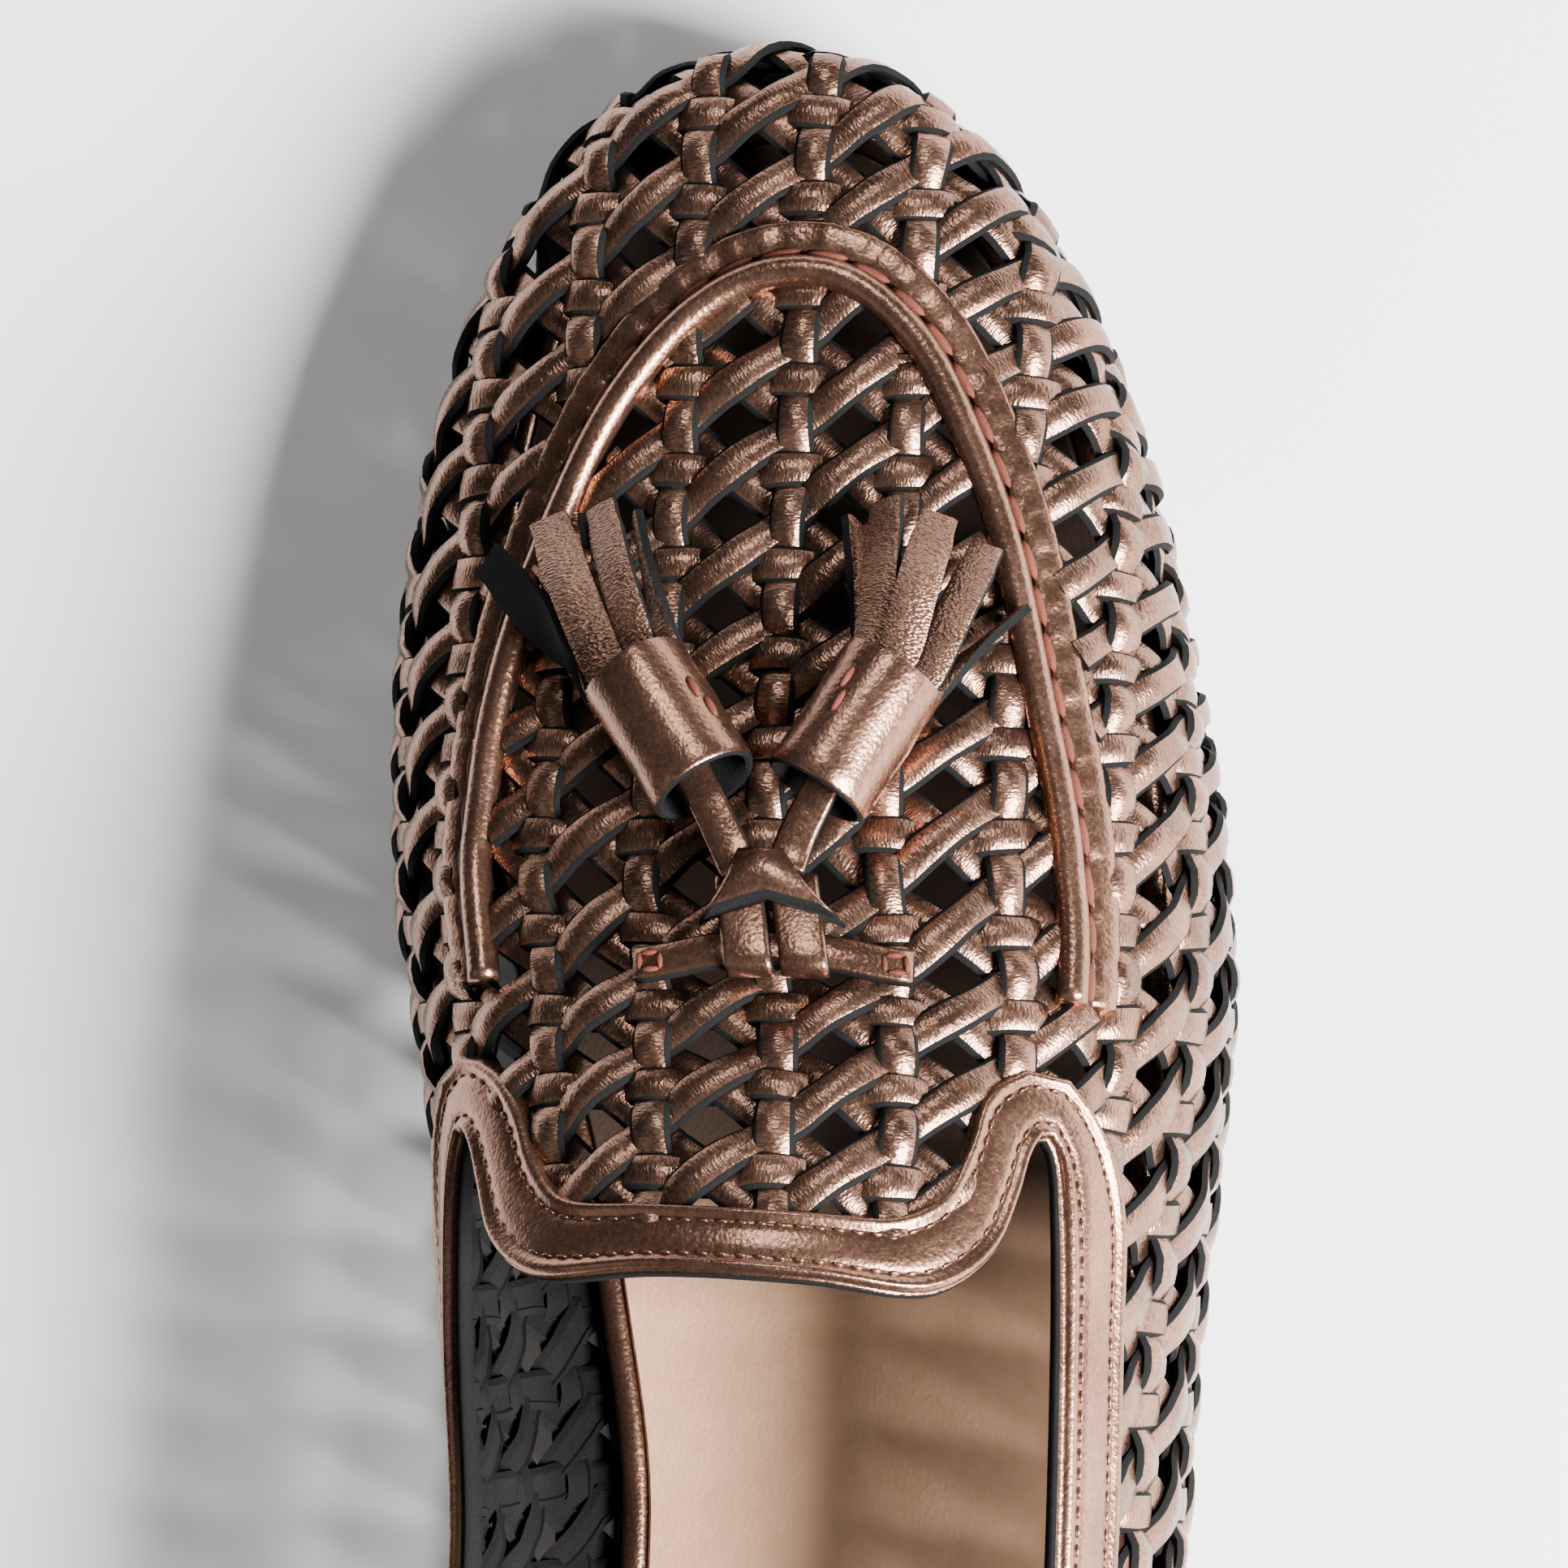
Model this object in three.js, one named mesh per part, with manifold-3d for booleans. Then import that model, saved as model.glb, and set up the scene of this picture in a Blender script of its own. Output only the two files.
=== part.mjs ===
// A woven tasselled moccasin for the right foot, in millimetres.
// +Y runs to the toe, +X to the lateral side and +Z up, with the origin on the floor
// under the shoe's middle. Sizes are laid out from the back of the heel, and moved there at the end.
import * as THREE from 'three';
import { mergeVertices } from 'three/addons/utils/BufferGeometryUtils.js';
import Module from 'manifold-3d';

const wasm = await Module();
wasm.setup();

// Driving dimensions
const last = {
  length: 245,        // heel back to toe tip, over the upper
  ballWidth: 82,      // across the upper at the ball
  instepHeight: 66,   // floor to ridge at the throat
  toeReach: 79,       // centre of the toe's curve to the toe tip
  heelReach: 31,      // centre of the heel's curve to the heel back
  heelHeight: 12,     // how far the heel seat is above the forefoot
  toeSpring: 7,       // how far the toe tip is above the forefoot
};
const sole = { thickness: 3.5, welt: 0.8, chamfer: 0.7, heelLength: 60, liftHeight: 3, taper: 1.2 };
const footbed = { board: 2.5, sock: 1.2, rim: 3 };
const weave = {
  across: 11.8,       // pitch of the strips that run to the toe
  along: 9.3,         // pitch of the strips that run from side to side
  shift: 5,           // middle strip, from the ridge
  raise: 1.0,         // height of a crossing above a hole's rim
  wall: 1.2,          // wall at a hole's rim
  holeAcross: 2.5,    // half of a hole's diagonal
  holeAlong: 2.1,
  holeMargin: 1.2,    // sheet left between a hole and an edge
  wallHoles: 4,       // one cell in this many is cut through in the walls
  reachAcross: 1.3,   // how far the sheet is made, of the ball width and of the length
  reachAlong: 1.16,
};
const binding = { high: 1.4, low: 1.4, shoulder: 0.6, inner: 0.14, outer: 0.88 };
const seam = { bead: 1.45, beadLift: 0.9, beadRoom: 1.9, band: 3.4, bandHigh: 1.1 };
const backStrip = { width: 10, high: 1.3 };
const bar = { width: 3.4, thickness: 1.5, rise: 1.1, archEnd: 0.36 };
const strap = { thickness: 1.0, bandWidth: 4.6, slit: 0.4, legWidth: 3.6, waist: 6.6, skirt: 12 };
const tassel = { radius: 4.9, wall: 1.0, length: 13.5, mouth: 4, strip: 3.4, thick: 1.0 };
const clearance = 0.3;

// The last, row by row from heel to toe. at is a share of the length, height and bulge are shares
// of the instep height, medial, lateral and ridge are shares of the ball width, the insets are
// millimetres that the bottom edge lies inside the bulge, and the rounds are exponents.
const sections = [
  { at: 0.00, medial: 0.378, lateral: 0.378, ridge: 0, height: 1.16, medialRound: 2.3, lateralRound: 2.3,
    bulge: 0.26, medialInset: 3, lateralInset: 3 },
  { at: 0.127, medial: 0.378, lateral: 0.378, ridge: 0, height: 1.16, medialRound: 2.3, lateralRound: 2.2,
    bulge: 0.26, medialInset: 3, lateralInset: 3 },
  { at: 0.25, medial: 0.356, lateral: 0.425, ridge: 0.02, height: 1.14, medialRound: 2.4, lateralRound: 1.9,
    bulge: 0.26, medialInset: 5, lateralInset: 5 },
  { at: 0.40, medial: 0.35, lateral: 0.47, ridge: 0.04, height: 1.09, medialRound: 2.4, lateralRound: 1.75,
    bulge: 0.26, medialInset: 6.5, lateralInset: 6.5 },
  { at: 0.49, medial: 0.382, lateral: 0.48, ridge: 0.04, height: 1.02, medialRound: 2.35, lateralRound: 1.8,
    bulge: 0.25, medialInset: 6, lateralInset: 6.5 },
  { at: 0.56, medial: 0.423, lateral: 0.497, ridge: 0.03, height: 0.91, medialRound: 2.3, lateralRound: 1.9,
    bulge: 0.235, medialInset: 5, lateralInset: 6 },
  { at: 0.62, medial: 0.468, lateral: 0.507, ridge: 0.005, height: 0.79, medialRound: 2.25, lateralRound: 2,
    bulge: 0.22, medialInset: 4.5, lateralInset: 5.5 },
  { at: 0.678, medial: 0.502, lateral: 0.495, ridge: -0.03, height: 0.69, medialRound: 2.2, lateralRound: 2.05,
    bulge: 0.205, medialInset: 4, lateralInset: 5 },
  { at: 0.75, medial: 0.502, lateral: 0.495, ridge: -0.035, height: 0.61, medialRound: 2.15, lateralRound: 2.05,
    bulge: 0.19, medialInset: 4, lateralInset: 4.5 },
  { at: 0.85, medial: 0.502, lateral: 0.495, ridge: -0.035, height: 0.53, medialRound: 2.15, lateralRound: 2.1,
    bulge: 0.17, medialInset: 4, lateralInset: 4.5 },
  { at: 1.00, medial: 0.502, lateral: 0.495, ridge: -0.035, height: 0.45, medialRound: 2.15, lateralRound: 2.15,
    bulge: 0.14, medialInset: 4, lateralInset: 4 },
];
// How the toe and heel curves round off, and how far the ball's sides still flare there
const toeCurve = { medialRound: 2.3, lateralRound: 1.95, medialFlare: 0.07, lateralFlare: -0.13 };
const heelCurve = { round: 2.25, quarter: 1.55 };
// Rise of the shank and the toe, as shares of the heel height and the toe spring
const rise = [
  { at: 0, heel: 1, toe: 0 },
  { at: 0.12, heel: 1, toe: 0 },
  { at: 0.30, heel: 0.78, toe: 0 },
  { at: 0.45, heel: 0.42, toe: 0 },
  { at: 0.56, heel: 0.10, toe: 0 },
  { at: 0.62, heel: 0, toe: 0 },
  { at: 0.72, heel: 0, toe: 0 },
  { at: 0.86, heel: 0, toe: 0.30 },
  { at: 1, heel: 0, toe: 1 },
];
// The sheet climbs over the instep: its rows lie further forward on the ridge than on the walls
const climb = { by: 6, reach: 60, throat: 0.514, fade: 0.16 };

// Topline, from the heel back round each notch to the middle of the throat. edge is the binding's
// free edge and band its other edge, along as shares of the length, across as shares of the ball width.
const lateralTopline = [
  { edgeAlong: -0.072, edgeAcross: 0.402, bandAlong: -0.072, bandAcross: 0.494 },
  { edgeAlong: 0.03, edgeAcross: 0.408, bandAlong: 0.03, bandAcross: 0.502 },
  { edgeAlong: 0.127, edgeAcross: 0.427, bandAlong: 0.127, bandAcross: 0.521 },
  { edgeAlong: 0.255, edgeAcross: 0.452, bandAlong: 0.255, bandAcross: 0.552 },
  { edgeAlong: 0.394, edgeAcross: 0.462, bandAlong: 0.394, bandAcross: 0.572 },
  { edgeAlong: 0.477, edgeAcross: 0.446, bandAlong: 0.477, bandAcross: 0.555 },
  { edgeAlong: 0.527, edgeAcross: 0.421, bandAlong: 0.531, bandAcross: 0.526 },
  { edgeAlong: 0.550, edgeAcross: 0.404, bandAlong: 0.566, bandAcross: 0.462 },
  { edgeAlong: 0.557, edgeAcross: 0.386, bandAlong: 0.587, bandAcross: 0.385 },
  { edgeAlong: 0.549, edgeAcross: 0.371, bandAlong: 0.575, bandAcross: 0.308 },
  { edgeAlong: 0.530, edgeAcross: 0.358, bandAlong: 0.549, bandAcross: 0.283 },
  { edgeAlong: 0.508, edgeAcross: 0.332, bandAlong: 0.528, bandAcross: 0.255 },
  { edgeAlong: 0.490, edgeAcross: 0.258, bandAlong: 0.518, bandAcross: 0.205 },
  { edgeAlong: 0.490, edgeAcross: 0.115, bandAlong: 0.516, bandAcross: 0.110 },
];
const medialTopline = [
  { edgeAlong: -0.072, edgeAcross: 0.402, bandAlong: -0.072, bandAcross: 0.494 },
  { edgeAlong: 0.03, edgeAcross: 0.408, bandAlong: 0.03, bandAcross: 0.502 },
  { edgeAlong: 0.127, edgeAcross: 0.427, bandAlong: 0.127, bandAcross: 0.521 },
  { edgeAlong: 0.255, edgeAcross: 0.457, bandAlong: 0.255, bandAcross: 0.552 },
  { edgeAlong: 0.394, edgeAcross: 0.470, bandAlong: 0.394, bandAcross: 0.567 },
  { edgeAlong: 0.480, edgeAcross: 0.451, bandAlong: 0.480, bandAcross: 0.549 },
  { edgeAlong: 0.527, edgeAcross: 0.421, bandAlong: 0.531, bandAcross: 0.512 },
  { edgeAlong: 0.549, edgeAcross: 0.396, bandAlong: 0.566, bandAcross: 0.454 },
  { edgeAlong: 0.557, edgeAcross: 0.377, bandAlong: 0.590, bandAcross: 0.378 },
  { edgeAlong: 0.549, edgeAcross: 0.358, bandAlong: 0.583, bandAcross: 0.305 },
  { edgeAlong: 0.531, edgeAcross: 0.340, bandAlong: 0.563, bandAcross: 0.258 },
  { edgeAlong: 0.509, edgeAcross: 0.312, bandAlong: 0.541, bandAcross: 0.232 },
  { edgeAlong: 0.494, edgeAcross: 0.235, bandAlong: 0.524, bandAcross: 0.192 },
  { edgeAlong: 0.492, edgeAcross: 0.076, bandAlong: 0.518, bandAcross: 0.080 },
];
// Bead of the apron seam, from the medial leg over the tip to the lateral leg
const seamLine = [
  { along: 0.621, across: -0.317 },
  { along: 0.672, across: -0.311 },
  { along: 0.727, across: -0.306 },
  { along: 0.769, across: -0.282 },
  { along: 0.823, across: -0.227 },
  { along: 0.863, across: -0.169 },
  { along: 0.896, across: -0.090 },
  { along: 0.913, across: -0.015 },
  { along: 0.918, across: 0.056 },
  { along: 0.913, across: 0.125 },
  { along: 0.890, across: 0.208 },
  { along: 0.844, across: 0.286 },
  { along: 0.804, across: 0.334 },
  { along: 0.737, across: 0.386 },
  { along: 0.690, across: 0.415 },
  { along: 0.655, across: 0.424 },
  { along: 0.614, across: 0.414 },
];
// Tassels: each cap's mouth and front, then the tips of its fringe, lift in millimetres
const barPlace = { along: 0.6235, from: -0.094, to: 0.222 };
const saddle = { waist: 0.672, middle: 0.072 };
const tassels = [
  { name: 'tassel_medial', mouthAlong: 0.699, mouthAcross: 0.010, frontAlong: 0.744, frontAcross: -0.088,
    leg: 0.052,
    tips: [
      { along: 0.796, across: -0.298, lift: 3.6 },
      { along: 0.811, across: -0.242, lift: 5.2 },
      { along: 0.819, across: -0.165, lift: 4.4 },
      { along: 0.811, across: -0.110, lift: 2.4 },
    ] },
  { name: 'tassel_lateral', mouthAlong: 0.697, mouthAcross: 0.132, frontAlong: 0.741, frontAcross: 0.204,
    leg: 0.092,
    tips: [
      { along: 0.824, across: 0.205, lift: 4.6 },
      { along: 0.814, across: 0.246, lift: 5.4 },
      { along: 0.797, across: 0.305, lift: 4.4 },
      { along: 0.775, across: 0.345, lift: 2.8 },
    ] },
];

// Plain tools
const smooth = (x) => THREE.MathUtils.smoothstep(x, 0, 1);

// A curve through a table's column that never overshoots its rows
function through(rows, key, scale) {
  const x = rows.map((row) => row.at * last.length);
  const y = rows.map((row) => row[key] * scale);
  const step = (k) => (y[k + 1] - y[k]) / (x[k + 1] - x[k]);
  const lean = y.map((value, k) => {
    if (k === 0) return step(0);
    if (k === y.length - 1) return step(k - 1);
    const [before, after] = [step(k - 1), step(k)];
    if (before * after <= 0) return 0;
    const [near, far] = [x[k] - x[k - 1], x[k + 1] - x[k]];
    return (3 * (near + far)) / ((2 * far + near) / before + (far + 2 * near) / after);
  });
  return (at) => {
    const v = THREE.MathUtils.clamp(at, x[0], x[x.length - 1]);
    let k = 0;
    while (k < x.length - 2 && v > x[k + 1]) k += 1;
    const h = x[k + 1] - x[k];
    const t = (v - x[k]) / h;
    return y[k] * (1 + 2 * t) * (1 - t) ** 2 + h * lean[k] * t * (1 - t) ** 2
      + y[k + 1] * t * t * (3 - 2 * t) + h * lean[k + 1] * t * t * (t - 1);
  };
}

const medialWidth = through(sections, 'medial', last.ballWidth);
const lateralWidth = through(sections, 'lateral', last.ballWidth);
const ridgeAcross = through(sections, 'ridge', last.ballWidth);
const ridgeHeight = through(sections, 'height', last.instepHeight);
const bulgeHeight = through(sections, 'bulge', last.instepHeight);
const medialRound = through(sections, 'medialRound', 1);
const lateralRound = through(sections, 'lateralRound', 1);
const medialInset = through(sections, 'medialInset', 1);
const lateralInset = through(sections, 'lateralInset', 1);
const heelRise = through(rise, 'heel', last.heelHeight);
const toeRise = through(rise, 'toe', last.toeSpring);

// Height of the last's bottom edge, which is the outsole's top
const bottomEdge = (y) => sole.thickness + heelRise(y) + toeRise(y);
const widthAt = (y, side) => (side < 0 ? medialWidth(y) : lateralWidth(y));

const toeCentre = new THREE.Vector2(ridgeAcross(last.length - last.toeReach), last.length - last.toeReach);
const heelCentre = new THREE.Vector2(ridgeAcross(last.heelReach), last.heelReach);
const heelArc = last.heelReach * heelCurve.quarter;
const sheetBack = heelCentre.y - heelArc;

const oval = (a, b, n) => (a ** n + b ** n) ** (-1 / n);

// Outline's distance from the toe's centre, turn measured from straight ahead
function toeReach(turn) {
  const side = turn < 0 ? -1 : 1;
  const wide = widthAt(toeCentre.y, side) - side * toeCentre.x;
  const [s, c] = [Math.abs(Math.sin(turn)), Math.abs(Math.cos(turn))];
  const round = side < 0 ? toeCurve.medialRound : toeCurve.lateralRound;
  const flare = side < 0 ? toeCurve.medialFlare : toeCurve.lateralFlare;
  return oval(s / wide, c / last.toeReach, round) * (1 + flare * c * s * s);
}

// Outline's distance from the heel's centre, turn measured from straight sideways
function heelReach(turn, side) {
  const wide = widthAt(heelCentre.y, side) - side * heelCentre.x;
  const [s, c] = [Math.abs(Math.sin(turn)), Math.abs(Math.cos(turn))];
  return oval(c / wide, s / last.heelReach, heelCurve.round);
}

// The flat sheet that the upper is cut from: across is measured round the section from the ridge,
// along runs to the toe. Each place lies on one ray out of the ridge or out of a curve's centre.
function rayAt(across, along) {
  const side = across < 0 ? -1 : 1;
  if (along > toeCentre.y) {
    const turn = Math.atan2(across, along - toeCentre.y);
    const dir = new THREE.Vector2(Math.sin(turn), Math.cos(turn));
    return { from: toeCentre, dir, side, reach: toeReach(turn),
      out: Math.hypot(across, along - toeCentre.y), sideways: Math.abs(Math.sin(turn)) };
  }
  if (along < heelCentre.y) {
    const turn = ((heelCentre.y - along) / heelArc) * (Math.PI / 2);
    return { from: heelCentre, dir: new THREE.Vector2(side * Math.cos(turn), -Math.sin(turn)), side,
      reach: heelReach(turn, side), out: Math.abs(across), sideways: Math.abs(Math.cos(turn)) };
  }
  const throat = climb.throat * last.length;
  const y = along + climb.by * smooth((toeCentre.y - along) / (toeCentre.y - throat))
    * (1 - smooth(Math.abs(across) / climb.reach))
    * smooth((along - heelCentre.y) / (climb.fade * last.length));
  const from = new THREE.Vector2(ridgeAcross(y), y);
  return { from, dir: new THREE.Vector2(side, 0), side, reach: widthAt(y, side) - side * from.x,
    out: Math.abs(across), sideways: 1 };
}

const upperSteps = 40;
const lowerSteps = 12;
const skirtBelow = 20;

// Profile along a ray: over the top to the bulge, round under it to the bottom edge, then down
function profileOf(ray) {
  const insetMiddle = (y) => (medialInset(y) + lateralInset(y)) / 2;
  const edgeY = ray.from.y + ray.dir.y * ray.reach;
  const insetSide = ray.side < 0 ? medialInset(edgeY) : lateralInset(edgeY);
  const inset = THREE.MathUtils.lerp(insetMiddle(edgeY), insetSide, ray.sideways);
  const roundMiddle = (medialRound(ray.from.y) + lateralRound(ray.from.y)) / 2;
  const roundSide = ray.side < 0 ? medialRound(ray.from.y) : lateralRound(ray.from.y);
  const round = THREE.MathUtils.lerp(roundMiddle, roundSide, ray.sideways);
  const low = bottomEdge(ray.from.y + ray.dir.y * (ray.reach - inset));
  const bulge = bulgeHeight(edgeY);
  const points = [];
  for (let k = 0; k <= upperSteps; k += 1) {
    const a = (k / upperSteps) * (Math.PI / 2);
    const r = ray.reach * Math.sin(a) ** (2 / round);
    const top = ridgeHeight(ray.from.y + ray.dir.y * r);
    points.push([r, low + bulge + (top - low - bulge) * Math.max(Math.cos(a), 0) ** (2 / round)]);
  }
  for (let k = 1; k <= lowerSteps; k += 1) {
    const a = (k / lowerSteps) * (Math.PI / 2);
    points.push([ray.reach - inset * (1 - Math.cos(a)), low + bulge * (1 - Math.sin(a))]);
  }
  points.push([ray.reach - inset, low - skirtBelow]);
  return points;
}

function spot(across, along) {
  const ray = rayAt(across, along);
  const points = profileOf(ray);
  let left = ray.out;
  for (let k = 1; k < points.length; k += 1) {
    const span = Math.hypot(points[k][0] - points[k - 1][0], points[k][1] - points[k - 1][1]);
    if (left <= span || k === points.length - 1) {
      const t = Math.min(left / span, 1);
      const r = THREE.MathUtils.lerp(points[k - 1][0], points[k][0], t);
      const z = THREE.MathUtils.lerp(points[k - 1][1], points[k][1], t);
      return new THREE.Vector3(ray.from.x + ray.dir.x * r, ray.from.y + ray.dir.y * r, z);
    }
    left -= span;
  }
  return null;
}

// Distance round the section from the ridge to the bottom edge
function girth(across, along) {
  const points = profileOf(rayAt(across, along));
  let sum = 0;
  for (let k = 1; k < points.length - 1; k += 1) {
    sum += Math.hypot(points[k][0] - points[k - 1][0], points[k][1] - points[k - 1][1]);
  }
  return sum;
}

const probe = 0.6;
function normalAt(across, along) {
  const u = spot(across + probe, along).sub(spot(across - probe, along));
  const v = spot(across, along + probe).sub(spot(across, along - probe));
  return u.cross(v).normalize();
}
function place(across, along, lift) {
  return spot(across, along).addScaledVector(normalAt(across, along), lift);
}

// Solids from point lists
function meshSolid(points, faces) {
  const flat = points.flatMap((p) => [p.x, p.y, p.z]);
  const geometry = new THREE.BufferGeometry();
  geometry.setAttribute('position', new THREE.Float32BufferAttribute(flat, 3));
  geometry.setIndex(faces.flat());
  return solidOf(geometry);
}

function solidOf(geometry) {
  const bare = geometry.clone();
  bare.deleteAttribute('normal');
  bare.deleteAttribute('uv');
  const merged = mergeVertices(bare, 1e-4);
  const solid = new wasm.Manifold(new wasm.Mesh({
    numProp: 3,
    vertProperties: new Float32Array(merged.attributes.position.array),
    triVerts: new Uint32Array(merged.index.array),
  }));
  if (solid.volume() > 0) return solid;
  const turned = Array.from(merged.index.array);
  for (let k = 0; k < turned.length; k += 3) {
    [turned[k + 1], turned[k + 2]] = [turned[k + 2], turned[k + 1]];
  }
  return new wasm.Manifold(new wasm.Mesh({
    numProp: 3,
    vertProperties: new Float32Array(merged.attributes.position.array),
    triVerts: new Uint32Array(turned),
  }));
}

function geometryOf(solid) {
  const mesh = solid.getMesh();
  const geometry = new THREE.BufferGeometry();
  geometry.setAttribute('position', new THREE.Float32BufferAttribute(mesh.vertProperties, 3));
  geometry.setIndex(Array.from(mesh.triVerts));
  return geometry;
}

// Skin over rings with as many points each, capped at both ends or closed on itself
function loft(rings, closed) {
  const n = rings[0].length;
  const faces = [];
  const turns = closed ? rings.length : rings.length - 1;
  for (let k = 0; k < turns; k += 1) {
    const [a, b] = [k * n, ((k + 1) % rings.length) * n];
    for (let m = 0; m < n; m += 1) {
      const next = (m + 1) % n;
      faces.push([a + m, a + next, b + next], [a + m, b + next, b + m]);
    }
  }
  if (!closed) {
    const end = (rings.length - 1) * n;
    for (let m = 1; m < n - 1; m += 1) faces.push([0, m + 1, m], [end, end + m, end + m + 1]);
  }
  return meshSolid(rings.flat(), faces);
}

// Splits the edges inside a flat triangulation until none is longer than the limit
function refine(points, faces, limit) {
  const key = (a, b) => (a < b ? `${a}_${b}` : `${b}_${a}`);
  for (;;) {
    const owners = new Map();
    faces.forEach((face, f) => face.forEach((a, k) => {
      const id = key(a, face[(k + 1) % 3]);
      owners.set(id, [...(owners.get(id) ?? []), f]);
    }));
    let longest = null;
    owners.forEach((list, id) => {
      if (list.length < 2) return;
      const [a, b] = id.split('_').map(Number);
      const size = points[a].distanceTo(points[b]);
      if (size > limit && (!longest || size > longest.size)) longest = { a, b, list, size };
    });
    if (!longest) return;
    const middle = points.length;
    points.push(points[longest.a].clone().lerp(points[longest.b], 0.5));
    longest.list.forEach((f) => {
      const face = faces[f];
      const swap = (from) => face.map((v) => (v === from ? middle : v));
      faces.push(swap(longest.a));
      faces[f] = swap(longest.b);
    });
  }
}

// The outline with points added until no side of it is longer than the limit
function densify(outline, limit) {
  return outline.flatMap((p, k) => {
    const next = outline[(k + 1) % outline.length];
    const parts = Math.max(1, Math.ceil(p.distanceTo(next) / limit));
    return Array.from({ length: parts }, (_, m) => p.clone().lerp(next, m / parts));
  });
}

// A thick patch of the sheet inside an outline of sheet places
function patch(shape, low, high, limit) {
  const outline = densify(shape, limit);
  const points = outline.map((p) => p.clone());
  const faces = THREE.ShapeUtils.triangulateShape(points, []);
  refine(points, faces, limit);
  const lower = points.map((p) => place(p.x, p.y, low));
  const upper = points.map((p) => place(p.x, p.y, high));
  const n = points.length;
  const skin = faces.flatMap(([a, b, c]) => [[a + n, b + n, c + n], [c, b, a]]);
  const forward = new Set(faces.flatMap(([a, b, c]) => [`${a}_${b}`, `${b}_${c}`, `${c}_${a}`]));
  outline.forEach((p, k) => {
    const next = (k + 1) % outline.length;
    const [a, b] = forward.has(`${k}_${next}`) ? [k, next] : [next, k];
    skin.push([a, b, b + n], [a, b + n, a + n]);
  });
  return meshSolid([...lower, ...upper], skin);
}

const sheetPlace = (along, across) => new THREE.Vector2(across * last.ballWidth, along * last.length);

// A smooth run of sheet places through a table's points
function runThrough(places, perSpan) {
  const knots = places.map((p) => new THREE.Vector3(p.x, p.y, 0));
  const curve = new THREE.CatmullRomCurve3(knots, false, 'centripetal');
  return curve.getPoints((places.length - 1) * perSpan).map((p) => new THREE.Vector2(p.x, p.y));
}

// The same run moved sideways, to the left of its direction when by is positive
function beside(run, by) {
  return run.map((p, k) => {
    const before = run[Math.max(k - 1, 0)];
    const after = run[Math.min(k + 1, run.length - 1)];
    const way = after.clone().sub(before).normalize();
    return new THREE.Vector2(p.x - way.y * by, p.y + way.x * by);
  });
}

// Outlines on the sheet
const spanSteps = 3;
const topEdges = (key) => [
  ...lateralTopline.map((row) => sheetPlace(row[`${key}Along`], row[`${key}Across`])),
  ...medialTopline.toReversed().map((row) => sheetPlace(row[`${key}Along`], -row[`${key}Across`])),
];
const toplineEdge = runThrough(topEdges('edge'), spanSteps);
const toplineBand = runThrough(topEdges('band'), spanSteps);
const seamRun = runThrough(seamLine.map((row) => sheetPlace(row.along, row.across)), 2);
const apronEdge = beside(seamRun, -seam.beadRoom);
const bandInner = beside(seamRun, seam.beadRoom);
const bandOuter = beside(seamRun, seam.beadRoom + seam.band);
const seamCut = beside(seamRun, seam.beadRoom + seam.band + clearance);

// Past the ends of the seam, apron and walls meet edge to edge, down to the topline's band
const legsReachBack = 0.5;
const underBand = legsReachBack * last.length;
const below = (p, by) => new THREE.Vector2(p.x + by, underBand);
const apronOutline = [below(apronEdge[0], 0), ...apronEdge, below(apronEdge.at(-1), 0)];
const legGap = 3 * clearance;
const besideApron = (p, by) => new THREE.Vector2(p.x + by, p.y - legGap);
const wallOutline = [
  below(apronEdge[0], -clearance),
  besideApron(apronEdge[0], -clearance),
  besideApron(seamCut[0], 0),
  ...seamCut,
  besideApron(seamCut.at(-1), 0),
  besideApron(apronEdge.at(-1), clearance),
  below(apronEdge.at(-1), clearance),
];

// The collar's cut is a U: it leaves out the middle, where no sheet is made
const opening = { half: 0.29, front: 0.39 };
const openingHalf = opening.half * last.ballWidth;
const openingFront = opening.front * last.length;
const stripEnd = sheetBack + backStrip.width / 2 + clearance;
const collarBack = sheetBack + backStrip.width / 4;
const collarRun = beside(toplineBand, -clearance)
  .map((p) => new THREE.Vector2(p.x, Math.max(p.y, collarBack)));
const collarOutline = [
  ...collarRun,
  new THREE.Vector2(-openingHalf, collarBack),
  new THREE.Vector2(-openingHalf, openingFront),
  new THREE.Vector2(openingHalf, openingFront),
  new THREE.Vector2(openingHalf, collarBack),
];

function distanceTo(point, run) {
  let least = Infinity;
  for (let k = 0; k < run.length - 1; k += 1) {
    const line = run[k + 1].clone().sub(run[k]);
    const t = THREE.MathUtils.clamp(point.clone().sub(run[k]).dot(line) / line.lengthSq(), 0, 1);
    least = Math.min(least, point.distanceTo(run[k].clone().addScaledVector(line, t)));
  }
  return least;
}

function isInside(point, outline) {
  let inside = false;
  outline.forEach((a, k) => {
    const b = outline[(k + 1) % outline.length];
    const crosses = (a.y > point.y) !== (b.y > point.y);
    if (crosses && point.x < a.x + ((b.x - a.x) * (point.y - a.y)) / (b.y - a.y)) inside = !inside;
  });
  return inside;
}

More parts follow.
